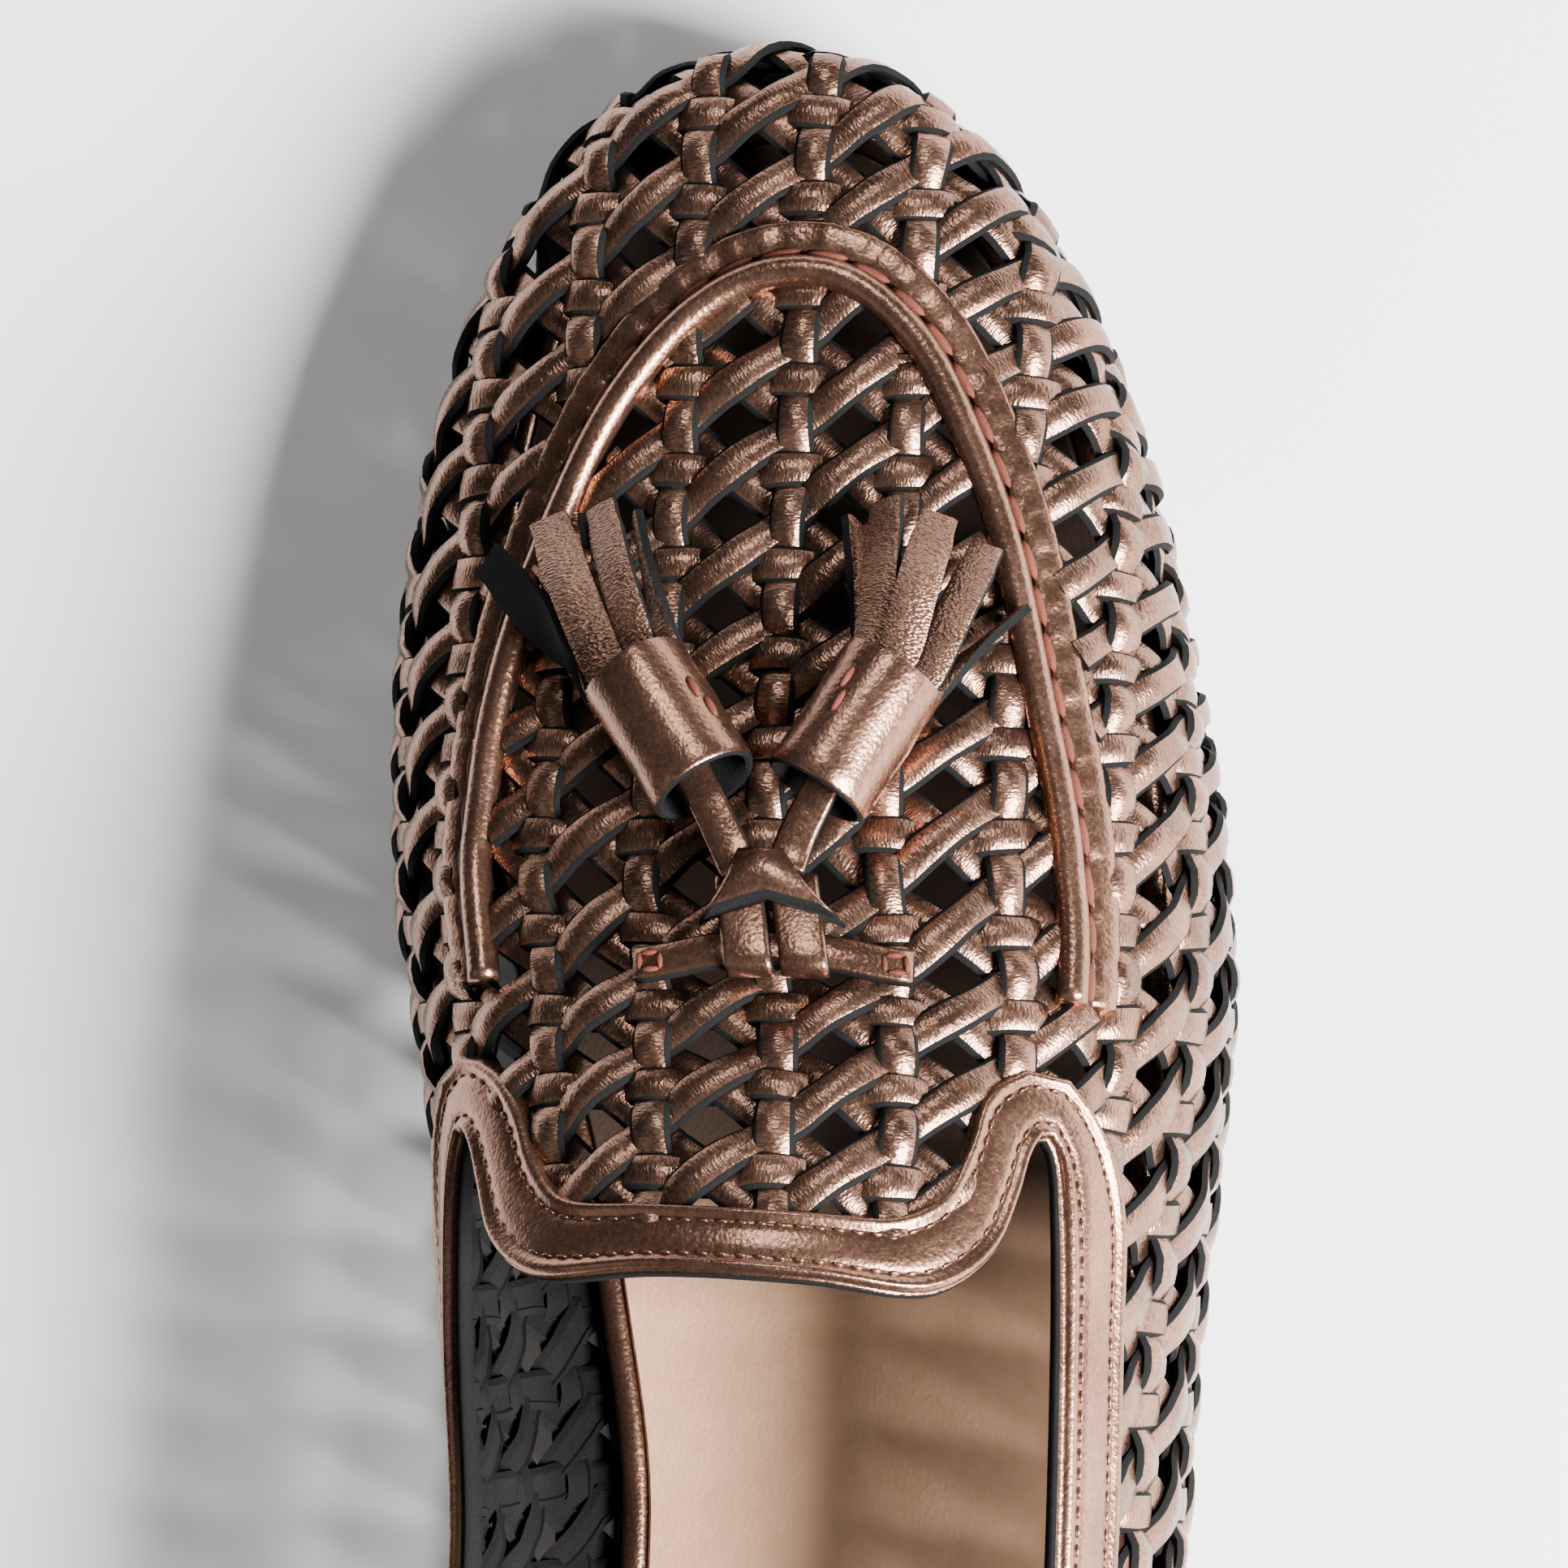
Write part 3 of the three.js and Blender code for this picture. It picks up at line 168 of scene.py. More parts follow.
def spots(s, t):
    # Places on the last for sheet places, and the distance from the ridge to the bottom edge
    ray = raysAt(s, t)
    edgeY = ray["fromY"] + ray["dirY"] * ray["reach"]
    inset = insetOf(ray, edgeY)[:, None]
    middle = (form["medialRound"](ray["fromY"]) + form["lateralRound"](ray["fromY"])) / 2
    own = sided(ray["side"], form["medialRound"](ray["fromY"]), form["lateralRound"](ray["fromY"]))
    power = 2 / (middle + (own - middle) * ray["sideways"])[:, None]
    reach = ray["reach"][:, None]
    low = bottomEdge(ray["fromY"] + ray["dirY"] * (ray["reach"] - inset[:, 0]))[:, None]
    bulge = form["bulge"](edgeY)[:, None]
    a = np.linspace(0, math.pi / 2, 41)[None]
    r = reach * np.sin(a) ** power
    top = form["height"](ray["fromY"][:, None] + ray["dirY"][:, None] * r)
    z = low + bulge + (top - low - bulge) * np.maximum(np.cos(a), 0) ** power
    b = np.linspace(0, math.pi / 2, 13)[None, 1:]
    r = np.hstack([r, reach - inset * (1 - np.cos(b)), reach - inset])
    z = np.hstack([z, low + bulge * (1 - np.sin(b)), low - 20])
    path = np.hstack([np.zeros((len(s), 1)), np.cumsum(np.hypot(np.diff(r), np.diff(z)), axis=1)])
    k = np.clip((path < ray["out"][:, None]).sum(axis=1), 1, path.shape[1] - 1)
    row = np.arange(len(s))
    share = np.clip((ray["out"] - path[row, k - 1]) / (path[row, k] - path[row, k - 1]), 0, 1)
    r = r[row, k - 1] + (r[row, k] - r[row, k - 1]) * share
    z = z[row, k - 1] + (z[row, k] - z[row, k - 1]) * share
    return (np.stack([ray["fromX"] + ray["dirX"] * r, ray["fromY"] + ray["dirY"] * r, z], 1),
            path[:, -2])


# The whole sheet on a grid of one millimetre, so that any piece of it is quickly placed
gridS = np.arange(-90, 91, 1.0)
gridT = np.arange(math.floor(sheetBack) - 1, 282, 1.0)
meshS, meshT = np.meshgrid(gridS, gridT)
flatSpots, flatGirth = spots(meshS.ravel(), np.maximum(meshT.ravel(), sheetBack))
gridSpots = flatSpots.reshape(len(gridT), len(gridS), 3)
gridGirth = flatGirth.reshape(len(gridT), len(gridS))
probe = 0.6


def normalsAt(s, t):
    u = spots(s + probe, t)[0] - spots(s - probe, t)[0]
    v = spots(s, t + probe)[0] - spots(s, t - probe)[0]
    n = np.cross(u, v)
    return n / np.maximum(np.linalg.norm(n, axis=1, keepdims=True), 1e-9)


gridNormals = normalsAt(meshS.ravel(), meshT.ravel()).reshape(gridSpots.shape)


def lookUp(grid, s, t):
    x = np.clip(s - gridS[0], 0, len(gridS) - 1.001)
    y = np.clip(t - gridT[0], 0, len(gridT) - 1.001)
    i, j = x.astype(int), y.astype(int)
    fx, fy = x - i, y - j
    if grid.ndim == 3:
        fx, fy = fx[..., None], fy[..., None]
    return ((grid[j, i] * (1 - fx) + grid[j, i + 1] * fx) * (1 - fy)
            + (grid[j + 1, i] * (1 - fx) + grid[j + 1, i + 1] * fx) * fy)


def placed(s, t, lift):
    # Millimetres from the back of the heel, for sheet places with a height over the last
    s, t, lift = np.broadcast_arrays(np.asarray(s, float), np.asarray(t, float), np.asarray(lift, float))
    n = lookUp(gridNormals, s, t)
    n = n / np.linalg.norm(n, axis=-1, keepdims=True)
    return lookUp(gridSpots, s, t) + n * lift[..., None]


print("last and sheet are laid out")


# Runs on the sheet, as in the pattern: along is a share of the length, across of the ball width
lateralTopline = [
    (-0.072, 0.402, -0.072, 0.494), (0.03, 0.408, 0.03, 0.502), (0.127, 0.427, 0.127, 0.521),
    (0.255, 0.452, 0.255, 0.552), (0.394, 0.462, 0.394, 0.572), (0.477, 0.446, 0.477, 0.555),
    (0.527, 0.421, 0.531, 0.526), (0.550, 0.404, 0.566, 0.462), (0.557, 0.386, 0.587, 0.385),
    (0.549, 0.371, 0.575, 0.308), (0.530, 0.358, 0.549, 0.283), (0.508, 0.332, 0.528, 0.255),
    (0.490, 0.258, 0.518, 0.205), (0.490, 0.115, 0.516, 0.110)]
medialTopline = [
    (-0.072, 0.402, -0.072, 0.494), (0.03, 0.408, 0.03, 0.502), (0.127, 0.427, 0.127, 0.521),
    (0.255, 0.457, 0.255, 0.552), (0.394, 0.470, 0.394, 0.567), (0.480, 0.451, 0.480, 0.549),
    (0.527, 0.421, 0.531, 0.512), (0.549, 0.396, 0.566, 0.454), (0.557, 0.377, 0.590, 0.378),
    (0.549, 0.358, 0.583, 0.305), (0.531, 0.340, 0.563, 0.258), (0.509, 0.312, 0.541, 0.232),
    (0.494, 0.235, 0.524, 0.192), (0.492, 0.076, 0.518, 0.080)]
seamLine = [
    (0.621, -0.317), (0.672, -0.311), (0.727, -0.306), (0.769, -0.282), (0.823, -0.227),
    (0.863, -0.169), (0.896, -0.090), (0.913, -0.015), (0.918, 0.056), (0.913, 0.125),
    (0.890, 0.208), (0.844, 0.286), (0.804, 0.334), (0.737, 0.386), (0.690, 0.415),
    (0.655, 0.424), (0.614, 0.414)]
seam = {"bead": 1.6, "lift": 0.95, "room": 1.9, "band": 3.4, "bandHigh": 1.1}


def sheetPoint(along, across):
    return (across * last["ballWidth"], along * last["length"])


def lengthsOf(run):
    # How far along the run each of its points is
    return np.concatenate([[0], np.cumsum(np.linalg.norm(np.diff(run, axis=0), axis=1))])


def pointsAt(at, gone, run):
    return np.stack([np.interp(at, gone, run[:, 0]), np.interp(at, gone, run[:, 1])], 1)


def runThrough(points, perSpan):
    # A centripetal curve through sheet points
    p = np.asarray(points, float)
    p = np.vstack([2 * p[0] - p[1], p, 2 * p[-1] - p[-2]])
    made = []
    for k in range(1, len(p) - 2):
        spans = np.linalg.norm(np.diff(p[k - 1:k + 3], axis=0), axis=1)
        knots = np.concatenate([[0], np.cumsum(spans ** 0.5)])
        t = np.linspace(knots[1], knots[2], perSpan, endpoint=False)[:, None]
        if k == len(p) - 3:
            t = np.linspace(knots[1], knots[2], perSpan + 1)[:, None]

        def mix(a, b, low, high):
            return (a * (knots[high] - t) + b * (t - knots[low])) / (knots[high] - knots[low])
        one = mix(p[k - 1], p[k], 0, 1)
        two = mix(p[k], p[k + 1], 1, 2)
        three = mix(p[k + 1], p[k + 2], 2, 3)
        made.append(mix(mix(one, two, 0, 2), mix(two, three, 1, 3), 1, 2))
    return np.vstack(made)


def beside(run, by):
    way = np.empty_like(run)
    way[1:-1] = run[2:] - run[:-2]
    way[0], way[-1] = run[1] - run[0], run[-1] - run[-2]
    way /= np.linalg.norm(way, axis=1, keepdims=True)
    return run + np.stack([-way[:, 1], way[:, 0]], 1) * by


def evenly(run, step):
    # The run with points every step millimetres, and the distance of each from its start
    gone = lengthsOf(run)
    at = np.linspace(0, gone[-1], max(2, round(gone[-1] / step) + 1))
    return pointsAt(at, gone, run), at


def topRun(first):
    rows = [sheetPoint(row[first], row[first + 1]) for row in lateralTopline]
    rows += [sheetPoint(row[first], -row[first + 1]) for row in reversed(medialTopline)]
    return runThrough(rows, 12)


toplineEdge = topRun(0)
toplineBand = topRun(2)
seamRun = runThrough([sheetPoint(*row) for row in seamLine], 12)


def isInside(s, t, outline):
    inside = np.zeros(np.shape(s), bool)
    for a, b in zip(outline, np.roll(outline, -1, axis=0)):
        if a[1] == b[1]:
            continue
        crosses = (a[1] > t) != (b[1] > t)
        inside ^= crosses & (s < a[0] + (b[0] - a[0]) * (t - a[1]) / (b[1] - a[1]))
    return inside


# Shared effects of the leathers
def addNode(tree, kind, inputs=None, **settings):
    made = tree.nodes.new(kind)
    for name, value in settings.items():
        setattr(made, name, value)
    for name, value in (inputs or {}).items():
        made.inputs[name].default_value = value
    return made


def leatherGrain():
    group = bpy.data.node_groups.new("leatherGrain", "ShaderNodeTree")
    face = group.interface
    face.new_socket(name="Vector", in_out="INPUT", socket_type="NodeSocketVector")
    for name in ("Grain", "Crinkle", "Depth"):
        face.new_socket(name=name, in_out="INPUT", socket_type="NodeSocketFloat")
    for name in ("Height", "Tone"):
        face.new_socket(name=name, in_out="OUTPUT", socket_type="NodeSocketFloat")
    link = group.links.new
    enter = addNode(group, "NodeGroupInput")
    leave = addNode(group, "NodeGroupOutput")
    cells = addNode(group, "ShaderNodeTexVoronoi", {"Randomness": 1.0}, feature="F1")
    folds = addNode(group, "ShaderNodeTexNoise", {"Detail": 3.0, "Roughness": 0.6, "Distortion": 0.7})
    broad = addNode(group, "ShaderNodeTexNoise", {"Scale": 0.11, "Detail": 2.0})
    link(enter.outputs["Vector"], cells.inputs["Vector"])
    link(enter.outputs["Vector"], folds.inputs["Vector"])
    link(enter.outputs["Vector"], broad.inputs["Vector"])
    link(enter.outputs["Grain"], cells.inputs["Scale"])
    link(enter.outputs["Crinkle"], folds.inputs["Scale"])
    weigh = addNode(group, "ShaderNodeMix", data_type="FLOAT")
    link(enter.outputs["Depth"], weigh.inputs[0])
    link(cells.outputs["Distance"], weigh.inputs[2])
    link(folds.outputs["Fac"], weigh.inputs[3])
    link(weigh.outputs[0], leave.inputs["Height"])
    tone = addNode(group, "ShaderNodeMix", {0: 0.45}, data_type="FLOAT")
    link(folds.outputs["Fac"], tone.inputs[2])
    link(broad.outputs["Fac"], tone.inputs[3])
    link(tone.outputs[0], leave.inputs["Tone"])
    return group


grainGroup = leatherGrain()


def leather(name, dark, light, metallic=0.0, rough=(0.35, 0.5), stretch=(1, 1, 1), useUv=False,
            grain=2.6, crinkle=1.1, depth=0.6, bump=0.0002, strength=0.7, coat=0.0, specular=0.5):
    # stretch is in pattern steps per millimetre
    material = bpy.data.materials.new(name)
    material.use_nodes = True
    tree = material.node_tree
    link = tree.links.new
    shader = tree.nodes["Principled BSDF"]
    shader.inputs["Metallic"].default_value = metallic
    shader.inputs["Coat Weight"].default_value = coat
    shader.inputs["Coat Roughness"].default_value = 0.25
    shader.inputs["Specular IOR Level"].default_value = specular
    source = addNode(tree, "ShaderNodeTexCoord")
    scale = [value * (1 if useUv else 1000) for value in stretch]
    mapping = addNode(tree, "ShaderNodeMapping", {"Scale": scale})
    link(source.outputs["UV" if useUv else "Object"], mapping.inputs["Vector"])
    effect = addNode(tree, "ShaderNodeGroup", node_tree=grainGroup)
    for key, value in (("Grain", grain), ("Crinkle", crinkle), ("Depth", depth)):
        effect.inputs[key].default_value = value
    link(mapping.outputs["Vector"], effect.inputs["Vector"])
    colours = addNode(tree, "ShaderNodeValToRGB")
    colours.color_ramp.elements[0].position = 0.36
    colours.color_ramp.elements[0].color = (*dark, 1)
    colours.color_ramp.elements[1].position = 0.64
    colours.color_ramp.elements[1].color = (*light, 1)
    link(effect.outputs["Tone"], colours.inputs["Fac"])
    link(colours.outputs["Color"], shader.inputs["Base Color"])
    gloss = addNode(tree, "ShaderNodeMapRange", {"From Min": 0.3, "From Max": 0.7, "To Min": rough[0],
                                                 "To Max": rough[1]})
    link(effect.outputs["Tone"], gloss.inputs["Value"])
    link(gloss.outputs["Result"], shader.inputs["Roughness"])
    relief = addNode(tree, "ShaderNodeBump", {"Strength": strength, "Distance": bump})
    link(effect.outputs["Height"], relief.inputs["Height"])
    link(relief.outputs["Normal"], shader.inputs["Normal"])
    return material


stripFoil = leather("bronze strip foil", (0.125, 0.067, 0.046), (0.33, 0.176, 0.119), 0.95, (0.23, 0.33),
                    (1.6, 0.8, 1), True, 2.8, 2.1, 0.5, 0.00014, 0.6)
trimFoil = leather("bronze trim foil", (0.18, 0.093, 0.063), (0.32, 0.168, 0.113), 0.95, (0.23, 0.31),
                   (1, 1, 1), False, 2.2, 1.7, 0.65, 0.00014, 0.5)
fringeFoil = leather("bronze fringe foil", (0.125, 0.066, 0.045), (0.31, 0.165, 0.111), 0.94, (0.22, 0.33),
                     (1.4, 0.9, 1), True, 3.2, 3.0, 0.35, 0.00023, 0.8)
cutEdge = leather("charcoal cut edge", (0.0022, 0.0022, 0.0023), (0.007, 0.007, 0.0072), 0.0, (0.8, 0.95),
                  grain=4.0, crinkle=3.0, bump=0.0001, specular=0.12)
copperThread = leather("copper thread", (0.060, 0.0155, 0.0095), (0.145, 0.038, 0.023), 0.0, (0.6, 0.75),
                       grain=6.0, crinkle=5.0, bump=0.00012, specular=0.2)
nude = leather("nude lining leather", (0.66, 0.365, 0.218), (0.75, 0.43, 0.265), 0.0, (0.28, 0.38),
               grain=2.0, crinkle=0.35, depth=0.3, bump=0.00012, strength=0.6, coat=0.5)
soleLeather = leather("dark sole leather", (0.012, 0.0075, 0.006), (0.030, 0.019, 0.0145), 0.0, (0.5, 0.65),
                      grain=2.2, crinkle=0.7, bump=0.00012, coat=0.04, specular=0.3)
heelLeather = leather("stacked heel leather", (0.020, 0.011, 0.007), (0.060, 0.033, 0.021), 0.0, (0.45, 0.6),
                      (0.5, 0.5, 1.3), grain=1.2, crinkle=1.0, bump=0.00015, coat=0.06, specular=0.3)
liftRubber = leather("top lift rubber", (0.006, 0.0058, 0.0055), (0.014, 0.0135, 0.013), 0.0, (0.65, 0.85),
                     grain=3.2, crinkle=1.5, bump=0.00015, specular=0.3)


def paintShadeAhead(material, start, end, shadeColour):
    # Painted shade: the sock's colour turns dark ahead of the throat, standing in for the shade under the
    # vamp that shows through the weave
    tree = material.node_tree
    link = tree.links.new
    base = tree.nodes["Principled BSDF"].inputs["Base Color"]
    before = base.links[0].from_socket
    source = addNode(tree, "ShaderNodeTexCoord")
    split = addNode(tree, "ShaderNodeSeparateXYZ")
    share = addNode(tree, "ShaderNodeMapRange", {"From Min": heelBack.y + start * mm,
                                                 "From Max": heelBack.y + end * mm})
    mix = addNode(tree, "ShaderNodeMix", data_type="RGBA")
    link(source.outputs["Object"], split.inputs["Vector"])
    link(split.outputs["Y"], share.inputs["Value"])
    link(share.outputs["Result"], mix.inputs[0])
    link(before, mix.inputs[6])
    mix.inputs[7].default_value = (*shadeColour, 1)
    link(mix.outputs[2], base)


# Painted shade: the nude sock goes dark brown between 119 and 134 mm from the back of the heel, for the
# shade under the vamp
paintShadeAhead(nude, 119, 134, (0.045, 0.028, 0.02))
print("leathers are mixed")


# Making pieces
def finishPiece(bm, name, materials, replaced=()):
    bmesh.ops.recalc_face_normals(bm, faces=bm.faces)
    mesh = bpy.data.meshes.new(name)
    bm.to_mesh(mesh)
    bm.free()
    for material in materials:
        mesh.materials.append(material)
    mesh.polygons.foreach_set("use_smooth", [True] * len(mesh.polygons))
    piece = bpy.data.objects.new(name, mesh)
    bpy.context.collection.objects.link(piece)
    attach(piece, "root")
    if replaced:
        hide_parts(*replaced)
    return piece


def applyModifiers(piece, sharpAt):
    depsgraph = bpy.context.evaluated_depsgraph_get()
    shown = piece.evaluated_get(depsgraph)
    made = bpy.data.meshes.new_from_object(shown, preserve_all_data_layers=True, depsgraph=depsgraph)
    piece.modifiers.clear()
    piece.data = made
    made.set_sharp_from_angle(angle=math.radians(sharpAt))


def inFrame(points):
    return np.asarray(points) * mm + np.array(heelBack)


def gridPiece(bm, points, closedAlong=False, closedAcross=False, uvs=None, capped=True, indexOf=None,
              endIndex=0, rimRows=0):
    # A grid of points (along, across, 3) as one skin. Closed ways repeat their first row at the end.
    # indexOf gives a face's material from its place across, endIndex that of ends and rim rows.
    alongCount, acrossCount = points.shape[0] - 1, points.shape[1] - 1
    made = bmesh.ops.create_grid(bm, x_segments=alongCount, y_segments=acrossCount, size=1)["verts"]
    world = inFrame(points)
    uvLayer = bm.loops.layers.uv.verify()
    own = set(made)
    faces = {face for vert in made for face in vert.link_faces}
    place = {}
    for vert in made:
        place[vert] = (round((vert.co.x + 1) / 2 * alongCount),
                       round((vert.co.y + 1) / 2 * acrossCount))
    for face in faces:
        low = min(place[loop.vert][1] for loop in face.loops)
        if indexOf:
            face.material_index = indexOf(low)
        if rimRows and min(place[loop.vert][0] for loop in face.loops) < rimRows:
            face.material_index = endIndex
        for loop in face.loops:
            i, j = place[loop.vert]
            loop[uvLayer].uv = uvs[i, j] if uvs is not None else (i, j)
    for vert in made:
        vert.co = world[place[vert]]
    if closedAlong or closedAcross:
        bmesh.ops.remove_doubles(bm, verts=list(own), dist=2e-6)
    if capped:
        rims = [edge for edge in bm.edges if edge.is_boundary]
        if rims:
            for face in bmesh.ops.holes_fill(bm, edges=rims, sides=0)["faces"]:
                face.material_index = endIndex


# Woven strips: flat on the sheet first, then lasted onto the form
weave = {"across": 11.8, "along": 9.3, "shift": 5.0, "width": 3.2, "thick": 0.85, "level": 1.0,
         "settle": -0.12, "crown": 0.07, "edge": 0.5, "shoulder": 0.8, "step": 1.1, "wander": 0.18,
         "uneven": 0.07, "halfSheet": 88, "halfRun": 330, "margin": 0.6, "backGap": 2}
tuck = {"binding": 0.55, "bead": -0.5, "band": 1.3, "back": 4, "wide": 20}
underBinding = toplineEdge * (1 - tuck["binding"]) + toplineBand * tuck["binding"]
collarCut = np.vstack([underBinding, [(-tuck["wide"], sheetBack - tuck["back"]),
                                      (tuck["wide"], sheetBack - tuck["back"])]])
seamCut = np.vstack([beside(seamRun, tuck["bead"]),
                     beside(seamRun, seam["room"] + seam["band"] - tuck["band"])[::-1]])
slanting = {"lines": range(-14, 42), "first": (weave["shift"], weave["along"] / 2),
            "every": (0, weave["along"])}
families = {
    "strips_to_the_toe": {"way": (0, 1), "lines": range(-8, 8), "first": (weave["shift"], 0),
                          "every": (weave["across"], 0)},
    "strips_side_to_side": {"way": (1, 0), "lines": range(-2, 31), "first": (0, 0),
                            "every": (0, weave["along"])},
    "strips_rising": {"way": (weave["across"], weave["along"]), **slanting},
    "strips_falling": {"way": (weave["across"], -weave["along"]), **slanting},
}


def isCovered(s, t):
    ray = raysAt(s, t)
    return ((t > sheetBack + weave["backGap"]) & (ray["out"] < lookUp(gridGirth, s, t) + weave["margin"])
            & ~isInside(s, t, collarCut) & ~isInside(s, t, seamCut))


def flat(x):
    # Cosine of a turn with its high and low flattened
    c = np.cos(2 * math.pi * x)
    return 1.5 * c - 0.5 * c ** 3


def levelOf(name, u, v):
    if name == "strips_to_the_toe":
        return 0.25 - 0.75 * flat(v)
    if name == "strips_side_to_side":
        return -0.25 + 0.75 * flat(u)
    if name == "strips_rising":
        return 0.5 - 0.5 * flat(u)
    return -0.5 - 0.5 * flat(u)


def weaveFamily(name, family):
    bm = bmesh.new()
    way = np.array(family["way"], float)
    way /= np.linalg.norm(way)
    turn = Matrix.Rotation(math.atan2(way[1], way[0]), 4, "Z")
    home = np.array([np.add(family["first"], np.multiply(k, family["every"])) for k in family["lines"]])
    at = np.arange(-weave["halfRun"], weave["halfRun"], weave["step"])
    for line in home:
        run = line + at[:, None] * way
        shown = ((np.abs(run[:, 0]) < weave["halfSheet"]) & (run[:, 1] > gridT[0])
                 & (run[:, 1] < gridT[-1]))
        shown[shown] = isCovered(run[shown, 0], run[shown, 1])
        edges = np.flatnonzero(np.diff(np.concatenate([[0], shown.astype(int), [0]])))
        for start, end in zip(edges[::2], edges[1::2]):
            if end - start < 3:
                continue
            a, b = run[start], run[end - 1]
            middle, long = (a + b) / 2, np.linalg.norm(b - a)
            size = Matrix.Diagonal((long / 2, weave["width"] / 2, 1, 1))
            bmesh.ops.create_grid(bm, x_segments=end - start - 1, y_segments=4, size=1,
                                  matrix=Matrix.Translation((*middle, 0)) @ turn @ size)
    mesh = bpy.data.meshes.new(name)
    bm.to_mesh(mesh)
    bm.free()
    co = np.empty(len(mesh.vertices) * 3)
    mesh.vertices.foreach_get("co", co)
    co = co.reshape(-1, 3)
    side = np.array([-way[1], way[0]])
    offs = (co[:, None, :2] - home[None]) @ side
    own = np.abs(offs).argmin(axis=1)
    off = offs[np.arange(len(co)), own]
    share = off / (weave["width"] / 2)
    rim, shoulder = np.abs(share) > 0.75, np.abs(share) > 0.25
    shaped = np.sign(share) * np.where(rim, 1, np.where(shoulder, weave["shoulder"], 0))
    drop = np.where(rim, weave["edge"], np.where(shoulder, weave["crown"], 0))
    centre = co[:, :2] - side * off[:, None]
    x, y = centre.T
    level = levelOf(name, (x - weave["shift"]) / weave["across"], y / weave["along"])
    lift = weave["settle"] + weave["level"] * level - drop
    # no strip is quite even in width, height or course
    lift = lift + weave["uneven"] * np.sin(x * 0.77 - y * 0.61 + own)
    wide = weave["width"] / 2 * (1 + weave["uneven"] * np.sin(x * 0.41 + y * 0.53 + own * 2.1))
    drift = np.stack([np.sin(y * 0.31 + own * 1.7) + np.sin(x * 0.23),
                      np.sin(x * 0.37 + own * 2.3) + np.sin(y * 0.19)], 1)
    sheet = centre + side * (shaped * wide)[:, None] + weave["wander"] * drift
    mesh.vertices.foreach_set("co", inFrame(placed(sheet[:, 0], sheet[:, 1], lift)).ravel())
    along = co[:, :2] @ way
    uvLayer = mesh.uv_layers.new(name="strip")
    verts = np.empty(len(mesh.loops), int)
    mesh.loops.foreach_get("vertex_index", verts)
    uv = np.stack([along + own * 37.0, shaped * weave["width"] / 2 + own * 11.0], 1)
    uvLayer.data.foreach_set("uv", uv[verts].ravel())
    mesh.materials.append(stripFoil)
    mesh.materials.append(cutEdge)
    mesh.polygons.foreach_set("use_smooth", [True] * len(mesh.polygons))
    corners = verts.reshape(-1, 4)
    cut = rim[corners].any(axis=1)  # the cut edges of a strip are dark
    mesh.polygons.foreach_set("material_index", cut.astype(int))
    mesh.update()
    piece = bpy.data.objects.new(name, mesh)
    bpy.context.collection.objects.link(piece)
    wall = piece.modifiers.new("thickness", "SOLIDIFY")
    wall.thickness = weave["thick"] * mm
    wall.offset = 0
    wall.material_offset = 1
    wall.material_offset_rim = 1
    applyModifiers(piece, 48)
    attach(piece, "root")
    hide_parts("upper", "apron")


for familyName, family in families.items():
    weaveFamily(familyName, family)
print("strips are woven")


# Topline binding, folded over the edge with a raised bead along both sides
binding = {"wide": 7.6, "low": 1.35, "high": 1.05, "crown": 0.28, "bead": 0.45, "beadAt": 0.8, "edge": 2.2,
           "rounding": 0.75, "groove": 0.22, "grooveAt": 1.9, "step": 1.3}
edgeEven, gone = evenly(toplineEdge, binding["step"])
bandEven = pointsAt(gone, lengthsOf(toplineEdge), toplineBand)


def bindingProfile():
    # Share of the width and lift, from the free edge over the top to the other edge and back under
    outer = []
    wide, edge = binding["wide"], binding["edge"]
    middle = edge + 0.7
    for d in np.concatenate([np.linspace(0, edge, 8), np.linspace(middle, wide - middle, 5),
                             np.linspace(wide - edge, wide, 8)]):
        fromEdge = min(d, wide - d)
        bead = binding["bead"] * math.exp(-((fromEdge - binding["beadAt"]) / 0.55) ** 2)
        crown = binding["crown"] * math.sin(math.pi * d / wide) ** 0.7
        rounding = binding["rounding"] * max(0.0, 1 - fromEdge / 0.7) ** 2
        groove = binding["groove"] * math.exp(-((fromEdge - binding["grooveAt"]) / 0.3) ** 2)
        outer.append((d / wide, binding["high"] + bead + crown - rounding - groove))
    return outer + [(1.0, -0.2), (0.98, -1.1), (0.9, -binding["low"]), (0.5, -binding["low"]),
                    (0.1, -binding["low"]), (0.0, -0.9), (-0.02, -0.2), (0, binding["high"] - 0.6)]


profile = bindingProfile()
bm = bmesh.new()
shares = np.array([row[0] for row in profile])
lifts = np.array([row[1] for row in profile])
places = edgeEven[:, None] * (1 - shares)[None, :, None] + bandEven[:, None] * shares[None, :, None]
shape = placed(places[..., 0], places[..., 1], lifts[None])
shape = np.concatenate([shape, shape[:, :1]], axis=1)
shape = np.concatenate([shape[:-1], shape[:1]], axis=0)
gridPiece(bm, shape, True, True, capped=False, indexOf=lambda j: 1 if j > 21 else 0)
finishPiece(bm, "topline_binding_folded", [trimFoil, cutEdge], ["topline_binding"])


def roundRun(run, lift, radius, sides, step, squash=1.0):
    # Rings of a cord that lies along a run on the sheet
    even, at = evenly(run, step)
    centre = placed(even[:, 0], even[:, 1], lift)
    up = lookUp(gridNormals, even[:, 0], even[:, 1])
    way = np.gradient(centre, axis=0)
    way /= np.linalg.norm(way, axis=1, keepdims=True)
    across = np.cross(way, up)
    across /= np.linalg.norm(across, axis=1, keepdims=True)
    rise = np.cross(across, way)
    a = np.linspace(0, 2 * math.pi, sides + 1)
    a[-1] = 0
    rings = centre[:, None] + radius * (np.cos(a)[None, :, None] * across[:, None]
                                        + squash * np.sin(a)[None, :, None] * rise[:, None])
    return rings, at


